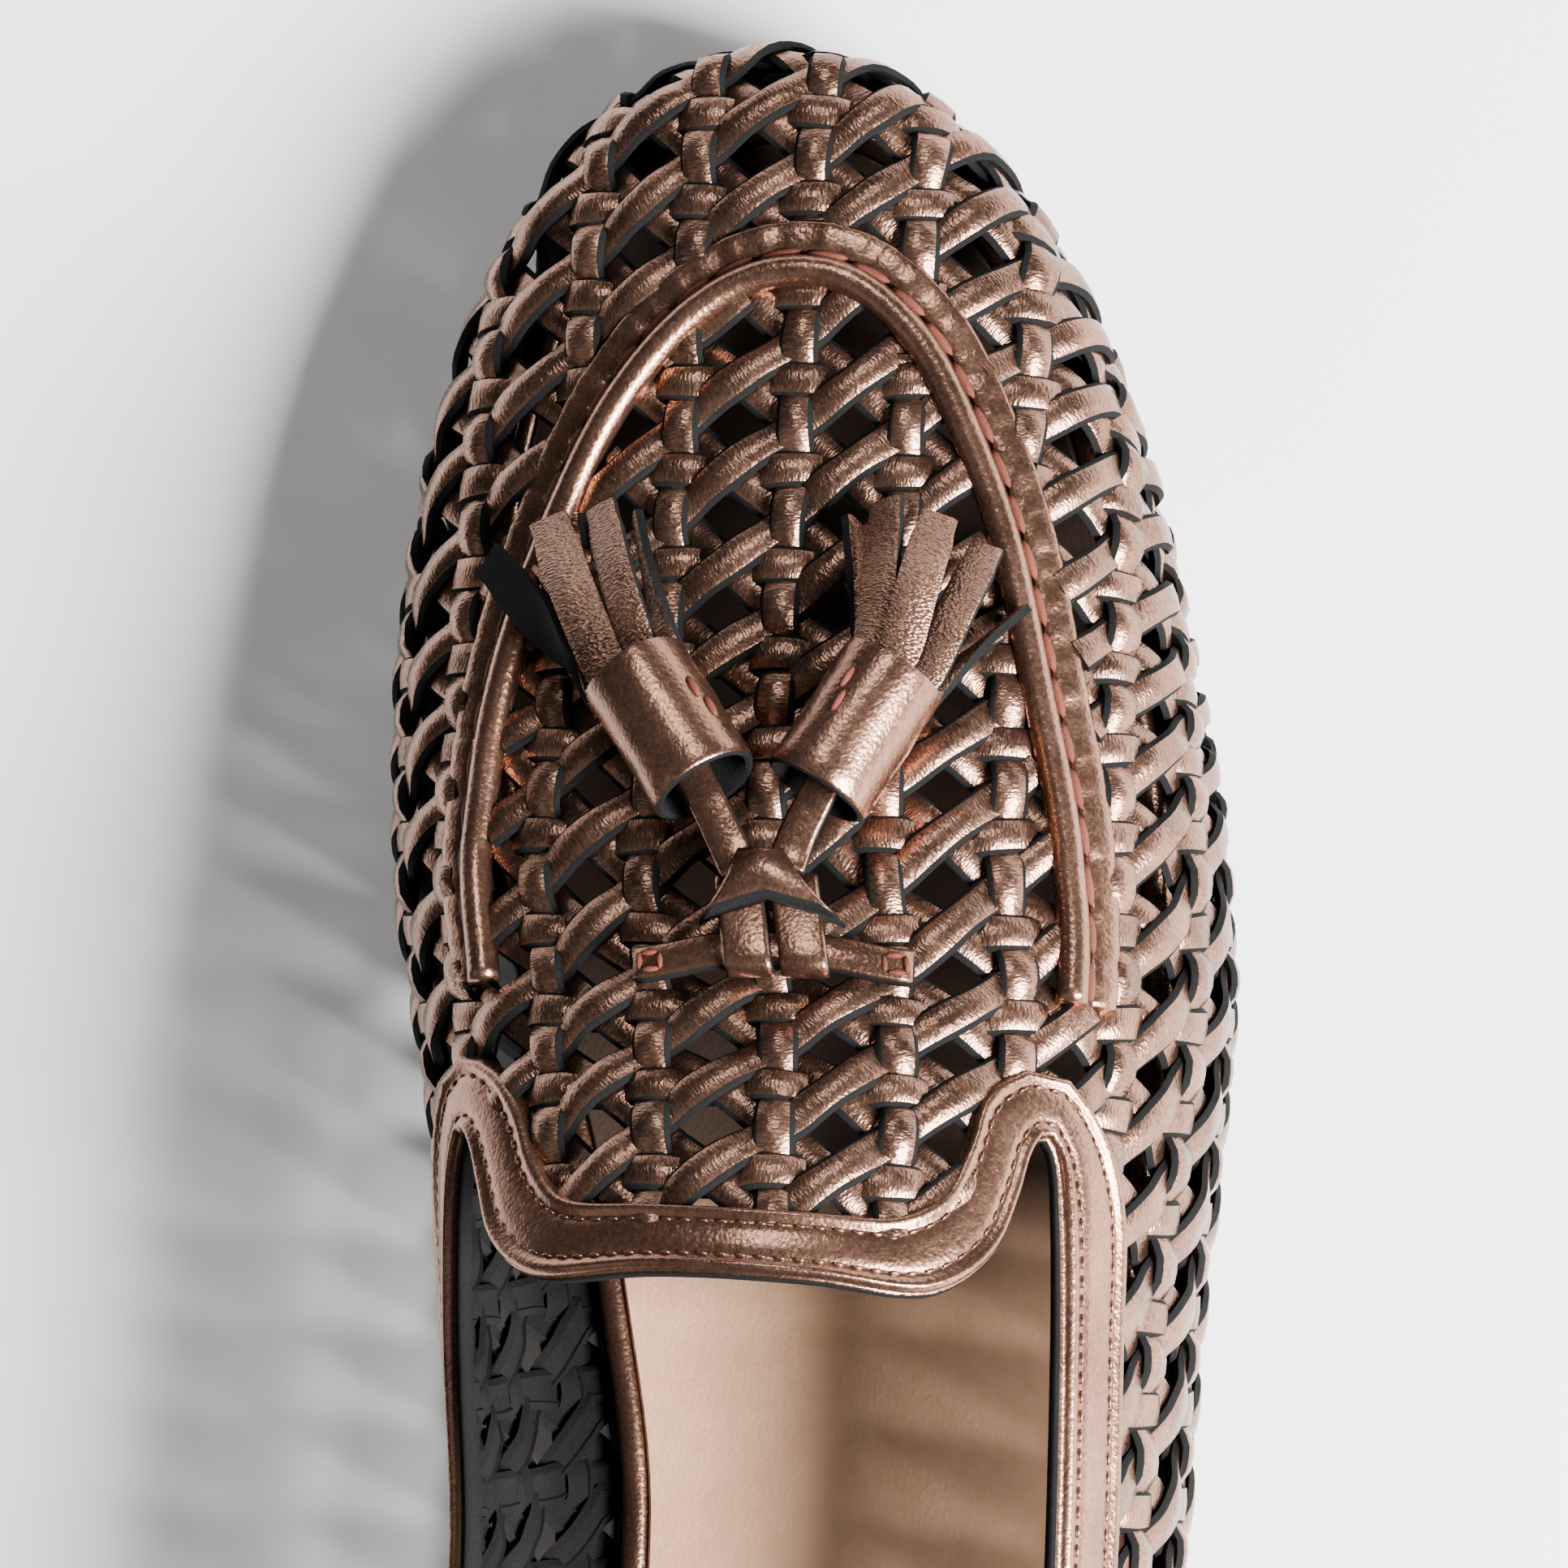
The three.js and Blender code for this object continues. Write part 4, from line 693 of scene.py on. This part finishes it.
bm = bmesh.new()
rings, at = roundRun(seamRun, seam["lift"], seam["bead"], 14, 1.0)
gridPiece(bm, rings, False, True)
finishPiece(bm, "apron_bead_piping", [trimFoil], ["apron_bead"])

# Band outside the bead: crinkled, with a soft roll along both edges
band = {"wave": 0.16, "step": 0.8}
bandMiddle, at = evenly(beside(seamRun, seam["room"] + seam["band"] / 2), band["step"])
sidePlaces = np.array([-0.5, -0.5, -0.46, -0.36, -0.12, 0.12, 0.36, 0.46, 0.5, 0.5, 0, -0.5])
sideLifts = np.array([-0.9, 0.5, 0.92, 1.1, 1.14, 1.14, 1.1, 0.92, 0.5, -0.9, -1.0, -0.9])
way = np.gradient(bandMiddle, axis=0)
way /= np.linalg.norm(way, axis=1, keepdims=True)
left = np.stack([-way[:, 1], way[:, 0]], 1)
ripple = 0.6 * np.sin(at * 1.9) + 0.4 * np.sin(at * 3.1 + 1) + 0.5 * np.sin(at * 0.8 + 2)
places = bandMiddle[:, None] + left[:, None] * (sidePlaces * seam["band"])[None, :, None]
waving = (sideLifts > 0) * np.cos(sidePlaces * 2)
lift = sideLifts[None] + band["wave"] * ripple[:, None] * waving[None]
bm = bmesh.new()
gridPiece(bm, placed(places[..., 0], places[..., 1], lift), False, True)
finishPiece(bm, "apron_band_crinkled", [trimFoil, cutEdge], ["apron_band"])
print("seam and binding are sewn")


# Stitches, as short rounds of thread
def stitchAt(bm, place, ahead, up, long, thick):
    forward = Vector(ahead).normalized()
    up = Vector(up)
    turn = Matrix((forward, up.cross(forward).normalized(), up)).transposed().to_4x4()
    size = Matrix.Diagonal((long / 2 * mm, thick / 2 * mm, thick / 2 * mm, 1))
    bmesh.ops.create_uvsphere(bm, u_segments=8, v_segments=5, radius=1,
                              matrix=Matrix.Translation(inFrame(place)) @ turn @ size)


def stitchRow(bm, run, lift, long, thick, gap, slant=0.0):
    even, at = evenly(run, long + gap)
    for k in range(len(even) - 1):
        s, t = (even[k] + even[k + 1]) / 2
        direction = even[k + 1] - even[k]
        direction /= np.linalg.norm(direction)
        side = np.array([-direction[1], direction[0]])
        direction = direction * math.cos(slant) + side * math.sin(slant)
        a, b = (np.array([s, t]) - direction * long / 2, np.array([s, t]) + direction * long / 2)
        ends = placed(np.array([a[0], b[0]]), np.array([a[1], b[1]]), lift)
        up = lookUp(gridNormals, np.array([s]), np.array([t]))[0]
        stitchAt(bm, ends.mean(axis=0), ends[1] - ends[0], up, long, thick)


threads = {"seamLong": 4.4, "seamThick": 1.05, "seamSlant": 0.07, "gap": 0.5, "edgeLong": 1.3,
           "edgeThick": 0.4, "edgeAt": 0.26}
bm = bmesh.new()
stitchRow(bm, beside(seamRun, seam["bead"] + 0.3), 1.0, threads["seamLong"], threads["seamThick"],
          threads["gap"], threads["seamSlant"])
finishPiece(bm, "seam_stitches", [copperThread])
bm = bmesh.new()
for share in (threads["edgeAt"], 1 - threads["edgeAt"]):
    run = edgeEven * (1 - share) + bandEven * share
    stitchRow(bm, run, binding["high"] + 0.12, threads["edgeLong"], threads["edgeThick"], threads["gap"])
finishPiece(bm, "binding_stitches", [fringeFoil])


# Sole, heel and insole: skins over rays out of the middle line
def soleRays():
    heelTurns = np.linspace(90, 0, 22)[:-1]
    sideY = np.linspace(heelCentre[1], toeCentre[1], 44)
    toeTurns = np.linspace(90, 0, 34)[1:]
    near = 1e-4
    lateral = ([(near, heelCentre[1] - turn / 90 * heelArc) for turn in heelTurns]
               + [(near, min(max(y, heelCentre[1]), toeCentre[1])) for y in sideY]
               + [(math.sin(math.radians(turn)), toeCentre[1] + math.cos(math.radians(turn)) + near)
                  for turn in toeTurns])
    medial = [(-s, t) for s, t in reversed(lateral)]
    loop = np.array(lateral + medial + lateral[:1])
    ray = raysAt(loop[:, 0], loop[:, 1])
    body = (loop[:, 1] >= heelCentre[1]) & (loop[:, 1] <= toeCentre[1])
    y = loop[:, 1]
    side = ray["side"]
    for key, value in (("fromX", form["ridge"](y)), ("fromY", y)):
        ray[key] = np.where(body, value, ray[key])
    reach = sided(side, form["medial"](y), form["lateral"](y)) - side * ray["fromX"]
    ray["reach"] = np.where(body, reach, ray["reach"])
    return ray


soleRay = soleRays()
soleEdge = soleRay["reach"] - insetOf(soleRay, soleRay["fromY"] + soleRay["dirY"] * soleRay["reach"])


def solePiece(name, rows, material, replaced, keep=None, dish=None):
    # rows: share of the way to the edge, millimetres past it, and the height as a function of y
    # keep: how far from the back of the heel the piece is cut off
    skin = []
    for share, grow, high in rows:
        r = (soleEdge + grow) * share
        x, y = soleRay["fromX"] + soleRay["dirX"] * r, soleRay["fromY"] + soleRay["dirY"] * r
        z = high(y)
        if dish is not None:
            z = z + dish(x, y, share)
        skin.append(np.stack([x, y, z], 1))
    points = np.stack(skin, 1)
    bm = bmesh.new()
    gridPiece(bm, points, True, True, capped=False)
    bmesh.ops.dissolve_degenerate(bm, dist=1e-6, edges=bm.edges)
    if keep:
        bmesh.ops.bisect_plane(bm, geom=bm.verts[:] + bm.edges[:] + bm.faces[:], plane_no=(0, 1, 0),
                               plane_co=(0, heelBack.y + keep * mm, 0), clear_outer=True)
        bmesh.ops.holes_fill(bm, edges=[edge for edge in bm.edges if edge.is_boundary], sides=0)
    piece = finishPiece(bm, name, [material], replaced)
    piece.data.set_sharp_from_angle(angle=math.radians(35))
    return piece


def under(y):
    return bottomEdge(y) - last["sole"]


def heelTop(y):
    return under(y) - clearance


def level(z):
    return lambda y: 0 * y + z


welt = {"out": 0.8, "chamfer": 0.7}
solePiece("outsole_leather", [
    (0, 0, under), (0.5, 0, under), (0.9, 0, under), (1, welt["out"] - welt["chamfer"], under),
    (1, welt["out"] - 0.15, lambda y: under(y) + 0.45), (1, welt["out"], lambda y: under(y) + 1.0),
    (1, welt["out"], lambda y: bottomEdge(y) - 1.0),
    (1, welt["out"] - 0.12, lambda y: bottomEdge(y) - 0.35), (1, welt["out"] - 0.5, bottomEdge),
    (0.9, 0, bottomEdge), (0.5, 0, bottomEdge), (0, 0, bottomEdge)],
    soleLeather, ["outsole"])
stack = {"lifts": 3, "taper": 1.2, "dent": 0.22}


def heelRows():
    low = last["topLift"] + clearance
    rows = [(0, 0, level(low)), (0.6, 0, level(low))]
    for k in range(stack["lifts"]):
        for part, dent in ((0.04, stack["dent"]), (0.12, 0.0), (0.88, 0.0), (0.96, stack["dent"])):
            share = (k + part) / stack["lifts"]
            grow = welt["out"] - stack["taper"] * (1 - share) - dent
            rows.append((1, grow, lambda y, share=share: low * (1 - share) + heelTop(y) * share))
    return rows + [(0.6, 0, heelTop), (0, 0, heelTop)]


solePiece("heel_stack", heelRows(), heelLeather, ["heel"], keep=last["heelLength"])
liftHigh = last["topLift"]
solePiece("heel_lift_rubber", [
    (0, 0, level(0)), (0.6, 0, level(0)), (1, -0.8, level(0)), (1, -0.4, level(0.4)),
    (1, -0.4, level(liftHigh - 0.3)), (1, -0.7, level(liftHigh)), (0.6, 0, level(liftHigh)),
    (0, 0, level(liftHigh))], liftRubber, ["heel_top_lift"], keep=last["heelLength"])

insole = {"wall": -1.5, "board": 2.5, "rim": 3.0, "roll": 1.25, "sock": 1.2}


def boardLow(y):
    return bottomEdge(y) + clearance


def boardTop(y):
    return boardLow(y) + insole["board"]


def rimRows():
    rows = [(0, 0, boardLow), (0.8, 0, boardLow), (1, insole["wall"] - 0.3, boardLow)]
    for a in np.linspace(-0.4, 1.0, 9) * math.pi:
        grow = insole["wall"] - insole["rim"] / 2 + insole["rim"] / 2 * math.cos(a)
        high = insole["roll"] * math.sin(a)
        high = high * (1 if high > 0 else 0.6) + 0.15
        rows.append((1, grow, lambda y, high=high: boardTop(y) + high))
    return rows + [(0.9, -insole["rim"], boardTop), (0, 0, boardTop)]


solePiece("insole_rolled_rim", rimRows(), trimFoil, ["insole"])
creases = [  # across the tread, as y at the middle, lean, width and depth in millimetres
    {"at": 112, "lean": 0.10, "wide": 9, "deep": 0.35},
    {"at": 84, "lean": -0.06, "wide": 14, "deep": 0.45},
    {"at": 136, "lean": 0.18, "wide": 6, "deep": 0.25},
    {"at": 58, "lean": 0.05, "wide": 12, "deep": 0.3},
]


def sockDish(x, y, share):
    lift = 0.5 * smooth((share - 0.6) / 0.4)
    for crease in creases:
        away = (y - crease["at"] - crease["lean"] * x) / crease["wide"]
        lift = lift - crease["deep"] * np.exp(-away ** 2)
    return lift


def sockLow(y):
    return boardTop(y) + clearance


def sockHigh(y):
    return sockLow(y) + insole["sock"] - 0.4


sockGrow = insole["wall"] - insole["rim"]
solePiece("sock_lining_leather", [
    (0, 0, sockLow), (0.9, sockGrow, sockLow), (1, sockGrow, sockLow),
    (1, sockGrow, lambda y: sockHigh(y) - 0.3), (1, sockGrow - 0.3, sockHigh), (0.96, sockGrow, sockHigh),
    (0.85, sockGrow, sockHigh), (0.7, sockGrow, sockHigh), (0.5, sockGrow, sockHigh),
    (0.25, sockGrow, sockHigh), (0, 0, sockHigh)], nude, ["sock_lining"], dish=sockDish)
print("sole and insole are built")


# Back strip over the seam of the heel
backStrip = {"width": 10, "high": 1.3, "stitch": 3.7}
girthBack = float(lookUp(gridGirth, np.array([40.0]), np.array([sheetBack + 0.5]))[0])
down = np.linspace(0.494 * last["ballWidth"] + clearance, girthBack - backStrip["high"] - clearance, 30)
halfTurns = np.array([-1, -1, -0.94, -0.5, 0, 0.5, 0.94, 1, 1, 0, -1]) * backStrip["width"] / 2
stripLifts = np.array([-1.0, 0.7, 1.15, 1.3, 1.35, 1.3, 1.15, 0.7, -1.0, -1.1, -1.0])
bm = bmesh.new()
points = np.stack([placed(np.where(halfTurns < 0, -d, d), sheetBack + np.abs(halfTurns), stripLifts)
                   for d in down])
gridPiece(bm, points, False, True, indexOf=lambda j: 1 if j > 7 else 0)
finishPiece(bm, "back_strip_leather", [trimFoil, cutEdge], ["back_strip"])
bm = bmesh.new()
for side in (-1, 1):
    stitchT = sheetBack + backStrip["stitch"]
    run = np.array([(side * down[1], stitchT), (side * down[-2], stitchT)])
    stitchRow(bm, run, backStrip["high"] - 0.05, threads["edgeLong"], threads["edgeThick"], threads["gap"])
finishPiece(bm, "back_strip_stitches", [fringeFoil])


# Tassels, their bar and their strap
ribbonAcross = np.array([-1, -1, -0.8, 0, 0.8, 1, 1, 0.8, 0, -0.8, -1])
ribbonHigh = np.array([-0.5, 0.35, 0.5, 0.5, 0.5, 0.35, -0.5, -0.5, -0.5, -0.5, -0.5])


def ribbonIndex(j):
    # Foil on the upper faces, cut leather on the others
    return 0 if 1 <= j <= 4 else 1


def ribbon(bm, centres, wides, ups, widths, thick, bow=0.0, uvShift=0.0):
    # A strip through centres, each with its width direction, its up and its width
    wides = wides / np.linalg.norm(wides, axis=1, keepdims=True)
    ups = ups - wides * (ups * wides).sum(axis=1, keepdims=True)
    ups = ups / np.linalg.norm(ups, axis=1, keepdims=True)
    points = (centres[:, None] + wides[:, None] * (ribbonAcross[None, :, None] * widths[:, None, None] / 2)
              + ups[:, None] * (ribbonHigh * thick - bow * ribbonAcross ** 2)[None, :, None])
    uvs = np.empty((*points.shape[:2], 2))
    uvs[..., 0] = lengthsOf(centres)[:, None] + uvShift
    uvs[..., 1] = ribbonAcross[None] * 1.6 + uvShift
    gridPiece(bm, points, False, True, uvs, indexOf=ribbonIndex, endIndex=1)


def smoothRun(points, count):
    # A smooth run through chosen points, on the sheet or in space
    p = np.asarray(points, float)
    p = np.vstack([2 * p[0] - p[1], p, 2 * p[-1] - p[-2]])
    made = []
    for k in range(1, len(p) - 2):
        t = np.linspace(0, 1, count, endpoint=k == len(p) - 3)[:, None]
        a, b, c, d = p[k - 1:k + 3]
        made.append(0.5 * (2 * b + (c - a) * t + (2 * a - 5 * b + 4 * c - d) * t ** 2
                           + (3 * b - a - 3 * c + d) * t ** 3))
    return np.vstack(made)


bar = {"along": 0.6235, "from": -0.094, "to": 0.222, "width": 3.4, "thick": 1.3, "rise": 1.1,
       "room": 1.5}
strap = {"thick": 0.95, "under": 1.0, "bandWidth": 4.6, "slit": 0.4, "middle": 0.072, "waist": 0.672}
apronHigh = 1.0
strapUnder = apronHigh + clearance
barUnder = strapUnder + strap["under"] + clearance
strapOver = barUnder + bar["room"] + clearance


def normalOf(s, t):
    return lookUp(gridNormals, np.asarray(s, float), np.asarray(t, float))


def sheetRibbon(bm, s, t, lift, widths, thick, bow=0.0, uvShift=0.0):
    centres = placed(s, t, lift)
    ups = normalOf(s, t)
    wides = np.cross(np.gradient(centres, axis=0), ups)
    ribbon(bm, centres, wides, ups, np.broadcast_to(widths, (len(centres),)), thick, bow, uvShift)


share = np.linspace(0, 1, 25)
arch = smooth(np.minimum(share, 1 - share) / 0.36)
barS = (bar["from"] + (bar["to"] - bar["from"]) * share) * last["ballWidth"]
barT = bar["along"] * last["length"] + bar["rise"] * arch
barLift = 0.5 * (1 - arch) + strapUnder + (barUnder - strapUnder) * arch + bar["thick"] / 2
bm = bmesh.new()
sheetRibbon(bm, barS, barT, barLift, bar["width"], bar["thick"], 0.1)
finishPiece(bm, "tassel_bar_strip", [trimFoil, cutEdge], ["tassel_bar"])
bm = bmesh.new()
for end in (0, 1):
    s = barS[0] + 1.6 if end == 0 else barS[-1] - 1.6
    t = bar["along"] * last["length"]
    square = ((-1, -0.95), (1, -0.95), (1, 0.95), (-1, 0.95), (-1, -0.95))
    corners = [(s + across, t + along) for across, along in square]
    for a, b in zip(corners, corners[1:]):
        stitchRow(bm, np.array([a, b]), strapUnder + bar["thick"] + 0.62, 1.9, 0.65, 0.0)
finishPiece(bm, "bar_stitches", [copperThread])

bm = bmesh.new()
middleS = strap["middle"] * last["ballWidth"]
barY = bar["along"] * last["length"] + bar["rise"]
room = bar["width"] / 2 + clearance + strap["thick"] / 2
for side in (-1, 1):
    centreS = middleS + side * (strap["slit"] + strap["bandWidth"]) / 2
    a = np.linspace(0, 2 * math.pi, 29)
    ring = np.stack([np.cos(a), np.sin(a)], 1)
    ring = np.sign(ring) * np.abs(ring) ** 0.6
    middleLift = (barUnder + strapOver) / 2
    half = (strapOver - barUnder) / 2 + strap["thick"] / 2
    t = barY + np.where(ring[:, 0] > 0, ring[:, 0] * 8.0, ring[:, 0] * room)
    lift = middleLift + ring[:, 1] * half
    centres = placed(np.full(29, centreS), t, lift)
    ups = centres - placed(np.full(29, centreS), np.full(29, barY), np.full(29, middleLift))
    wides = placed(np.full(29, centreS + 1), t, lift) - placed(np.full(29, centreS - 1), t, lift)
    ribbon(bm, centres, wides, ups, np.full(29, strap["bandWidth"]), strap["thick"], 0.08, side * 7)
waistT = strap["waist"] * last["length"]
rows = np.linspace(0, 1, 12)
skirt = {"from": 4.9, "wide": 13.2, "waist": 4.9, "arch": 2.7, "over": 1.5, "past": -0.8, "drop": 0.8}
t = barY + skirt["from"] + (waistT + skirt["past"] - barY - skirt["from"]) * rows
widths = skirt["wide"] - (skirt["wide"] - skirt["waist"]) * np.sin(rows * math.pi / 2) ** 0.8
lift = strapOver + skirt["over"] + 0.7 * np.sin(rows * math.pi) + 0.5 * rows - skirt["drop"] * (rows == 0)
skirtT = t[:, None] - (1 - rows[:, None]) ** 1.5 * skirt["arch"] * ribbonAcross[None] ** 2
skirtS = middleS + ribbonAcross[None] * widths[:, None] / 2
skirtLift = lift[:, None] + ribbonHigh[None] * strap["thick"] - 0.5 * ribbonAcross[None] ** 2
uvs = np.stack([np.broadcast_to(t[:, None], skirtS.shape), skirtS], -1)
gridPiece(bm, placed(skirtS, skirtT, skirtLift), False, True, uvs,
          indexOf=ribbonIndex, endIndex=1, rimRows=1)

tassel = {"radius": 5.4, "wall": 1.0, "length": 14.4, "mouth": 4.0, "legIn": 4.5}
tassels = {
    "tassel_medial": {
        "mouth": (0.695, 0.010), "front": (0.744, -0.088), "leg": 0.048, "stitch": (7.0, 28), "tips": [
        {"at": (0.797, -0.309), "root": (-3.9, 0.0), "lift": 3.4, "twist": 158, "width": 4.3, "sag": 0.5},
        {"at": (0.810, -0.219), "root": (-2.1, 1.5), "lift": 5.2, "twist": 8, "width": 4.5, "sag": 1.2},
        {"at": (0.815, -0.155), "root": (1.8, 1.3), "lift": 5.0, "twist": -10, "width": 3.6, "sag": 1.4},
        {"at": (0.812, -0.120), "root": (3.9, -0.2), "lift": 2.6, "twist": -66, "width": 3.6, "sag": 0.4},
        {"at": (0.797, -0.248), "root": (-0.5, -2.0), "lift": 1.6, "twist": 20, "width": 3.3, "sag": 0.2}]},
    "tassel_lateral": {
        "mouth": (0.692, 0.130), "front": (0.741, 0.204), "leg": 0.096, "stitch": (9.1, 114), "tips": [
        {"at": (0.818, 0.186), "root": (-3.2, 1.1), "lift": 4.2, "twist": -34, "width": 4.0, "sag": 0.9},
        {"at": (0.811, 0.247), "root": (-0.3, 1.8), "lift": 5.4, "twist": 6, "width": 4.2, "sag": 1.5},
        {"at": (0.800, 0.303), "root": (2.9, 1.0), "lift": 4.6, "twist": -10, "width": 3.7, "sag": 1.0},
        {"at": (0.776, 0.350), "root": (4.0, -0.6), "lift": 3.0, "twist": -76, "width": 3.2, "sag": 0.5},
        {"at": (0.812, 0.148), "root": (-3.6, -1.6), "lift": 2.0, "twist": 62, "width": 3.6, "sag": 0.2}]},
}
capLift = tassel["radius"] + apronHigh + 2 * clearance


def turnAbout(vectors, axes, angle):
    # Vectors turned about unit axes
    c, s = np.cos(angle), np.sin(angle)
    along = (vectors * axes).sum(axis=1, keepdims=True)
    return vectors * c[:, None] + np.cross(axes, vectors) * s[:, None] + axes * along * (1 - c[:, None])


for legTassel in tassels.values():
    start = np.array([legTassel["leg"] * last["ballWidth"], waistT - 3.0])
    mouthS, mouthT = sheetPoint(*legTassel["mouth"])
    frontS, frontT = sheetPoint(*legTassel["front"])
    inward = np.array([frontS - mouthS, frontT - mouthT])
    inward = np.array([mouthS, mouthT]) + inward / np.linalg.norm(inward) * tassel["legIn"]
    path = smoothRun([start, (start + (mouthS, mouthT)) / 2, inward], 8)
    gone = np.linspace(0, 1, len(path))
    lift = strapOver + 1.9 + (capLift - strapOver - 1.4) * smooth(gone) - 0.6 * np.sin(gone * math.pi)
    sheetRibbon(bm, path[:, 0], path[:, 1], lift, 3.9 - 0.5 * gone, strap["thick"], 0.1, start[0])
finishPiece(bm, "tassel_strap_folded", [trimFoil, cutEdge], ["tassel_strap"])


def capRows():
    # Radius, place along the cap, and 1 where it is cut or inside: from the shut inside round the
    # mouth to the shut front
    r, wall, long = tassel["radius"], tassel["wall"], tassel["length"]
    return [(0, tassel["mouth"], 1), (r - wall, tassel["mouth"], 1), (r - wall, 1.2, 1),
            (r - wall + 0.12, 0.1, 1), (r - wall * 0.55, -0.12, 1), (r - 0.12, 0.05, 1), (r + 0.03, 0.45, 0),
            (r + 0.02, 2, 0), (r - 0.06, 5, 0), (r + 0.04, 8, 0), (r - 0.04, 11, 0), (r, long - 0.7, 0),
            (r - 0.08, long - 0.15, 0), (r - wall * 0.5, long, 1), (r - wall + 0.05, long - 0.1, 1),
            (r - wall, long - 1, 1), (r - wall, long - 2, 1), (0, long - 2, 1)]


def makeTassel(name, one):
    bm = bmesh.new()
    mouth = placed(*sheetPoint(*one["mouth"]), capLift)
    frontS, frontT = sheetPoint(*one["front"])
    front = placed(frontS, frontT, capLift)
    way = (front - mouth) / np.linalg.norm(front - mouth)
    up = normalOf([frontS], [frontT])[0]
    across = np.cross(way, up)
    across /= np.linalg.norm(across)
    up = np.cross(across, way)
    sides = 40
    a = np.linspace(0, 2 * math.pi, sides + 1)
    a[-1] = 0
    rows = capRows()
    rings = []
    for r, along, _ in rows:
        # not quite round
        radius = (r > 0) * (r * (1 + 0.012 * np.sin(3 * a + along * 0.3)) + 0.05 * np.sin(5 * a + along))
        out = np.cos(a)[:, None] * across + np.sin(a)[:, None] * up
        rings.append(mouth + way * along + radius[:, None] * out)
    points = np.stack(rings, 0)
    uvs = np.empty((*points.shape[:2], 2))
    uvs[..., 0] = np.array([row[1] for row in rows])[:, None]
    uvs[..., 1] = np.linspace(0, 2 * math.pi, sides + 1)[None] * tassel["radius"]
    inside = [row[2] for row in rows]
    points, uvs = points.transpose(1, 0, 2), uvs.transpose(1, 0, 2)
    gridPiece(bm, points, True, True, uvs, capped=False,
              indexOf=lambda j: 1 if inside[j] and inside[min(j + 1, len(inside) - 1)] else 2)
    for k, tip in enumerate(one["tips"]):
        root = mouth + way * (tassel["length"] - 2) + across * tip["root"][0] + up * tip["root"][1]
        end = placed(*sheetPoint(*tip["at"]), tip["lift"])
        bend = (root + way * 3 + end) / 2 + up * tip["sag"]
        path = smoothRun([root, root + way * 3, bend, end], 6)
        ahead = np.gradient(path, axis=0)
        ahead /= np.linalg.norm(ahead, axis=1, keepdims=True)
        gone = np.linspace(0, 1, len(path))
        wides = turnAbout(np.cross(ahead, up), ahead, np.radians(tip["twist"]) * smooth(gone * 1.2))
        ups = np.cross(wides, ahead)
        widths = tip["width"] * (0.78 + 0.22 * smooth(gone * 2)) * (1 - 0.12 * (gone > 0.93))
        ribbon(bm, path, wides, ups, widths, 0.95, 0.12, k * 9.0)
    piece = finishPiece(bm, f"{name}_leather", [fringeFoil, cutEdge, trimFoil], [name])
    piece.data.set_sharp_from_angle(angle=math.radians(50))
    bm = bmesh.new()
    for along, shift in ((one["stitch"][0] - 1.5, 0.0), (one["stitch"][0] + 1.0, 0.12)):
        around = math.radians(one["stitch"][1]) + shift
        out = across * math.cos(around) + up * math.sin(around)
        stitchAt(bm, mouth + way * along + out * (tassel["radius"] + 0.05), way, out, 2.6, 0.8)
    finishPiece(bm, f"{name}_stitches", [copperThread])


for tasselName, one in tassels.items():
    makeTassel(tasselName, one)
print("tassels are hung")


# Camera at the photograph's angle, floor and soft lights
view = {"tilt": 15, "atX": -7.2, "atY": 172.5, "distance": 900, "lens": 204.3}
camera = bpy.data.objects.new("camera", bpy.data.cameras.new("camera"))
bpy.context.collection.objects.link(camera)
camera.data.lens = view["lens"]
camera.data.sensor_width = 36
tilt = math.radians(view["tilt"])
camera.rotation_euler = (0, tilt, 0)
across, away = view["atX"], view["distance"]
camera.location = heelBack + mm * Vector((across * math.cos(tilt) + away * math.sin(tilt), view["atY"],
                                          away * math.cos(tilt) - across * math.sin(tilt)))
bpy.context.scene.camera = camera

bm = bmesh.new()
bmesh.ops.create_grid(bm, x_segments=2, y_segments=2, size=3)
floorMesh = bpy.data.meshes.new("floor")
bm.to_mesh(floorMesh)
bm.free()
floor = bpy.data.objects.new("floor", floorMesh)
bpy.context.collection.objects.link(floor)
floorMaterial = bpy.data.materials.new("pale floor")
floorMaterial.use_nodes = True
floorShader = floorMaterial.node_tree.nodes["Principled BSDF"]
floorShader.inputs["Base Color"].default_value = (0.93, 0.93, 0.93, 1)
floorShader.inputs["Roughness"].default_value = 0.9
floorMesh.materials.append(floorMaterial)

lights = {
    "key": {"at": (0.76, -0.24, 0.62), "size": 0.42, "power": 78},
    "top": {"at": (0.10, 0.85, 0.80), "size": 0.25, "power": 4},
    "fill": {"at": (-0.8, -0.3, 0.9), "size": 0.6, "power": 0.5},
}
for name, one in lights.items():
    lamp = bpy.data.lights.new(name, "AREA")
    lamp.size = one["size"]
    lamp.energy = one["power"]
    holder = bpy.data.objects.new(name, lamp)
    holder.location = one["at"]
    aim = Vector((0, 0.02, 0.02)) - holder.location
    holder.rotation_euler = aim.to_track_quat("-Z", "Y").to_euler()
    bpy.context.collection.objects.link(holder)
world = bpy.data.worlds.new("studio")
world.use_nodes = True
world.node_tree.nodes["Background"].inputs["Color"].default_value = (1, 0.98, 0.96, 1)
world.node_tree.nodes["Background"].inputs["Strength"].default_value = 0.06
bpy.context.scene.world = world
print("camera and lights are set")
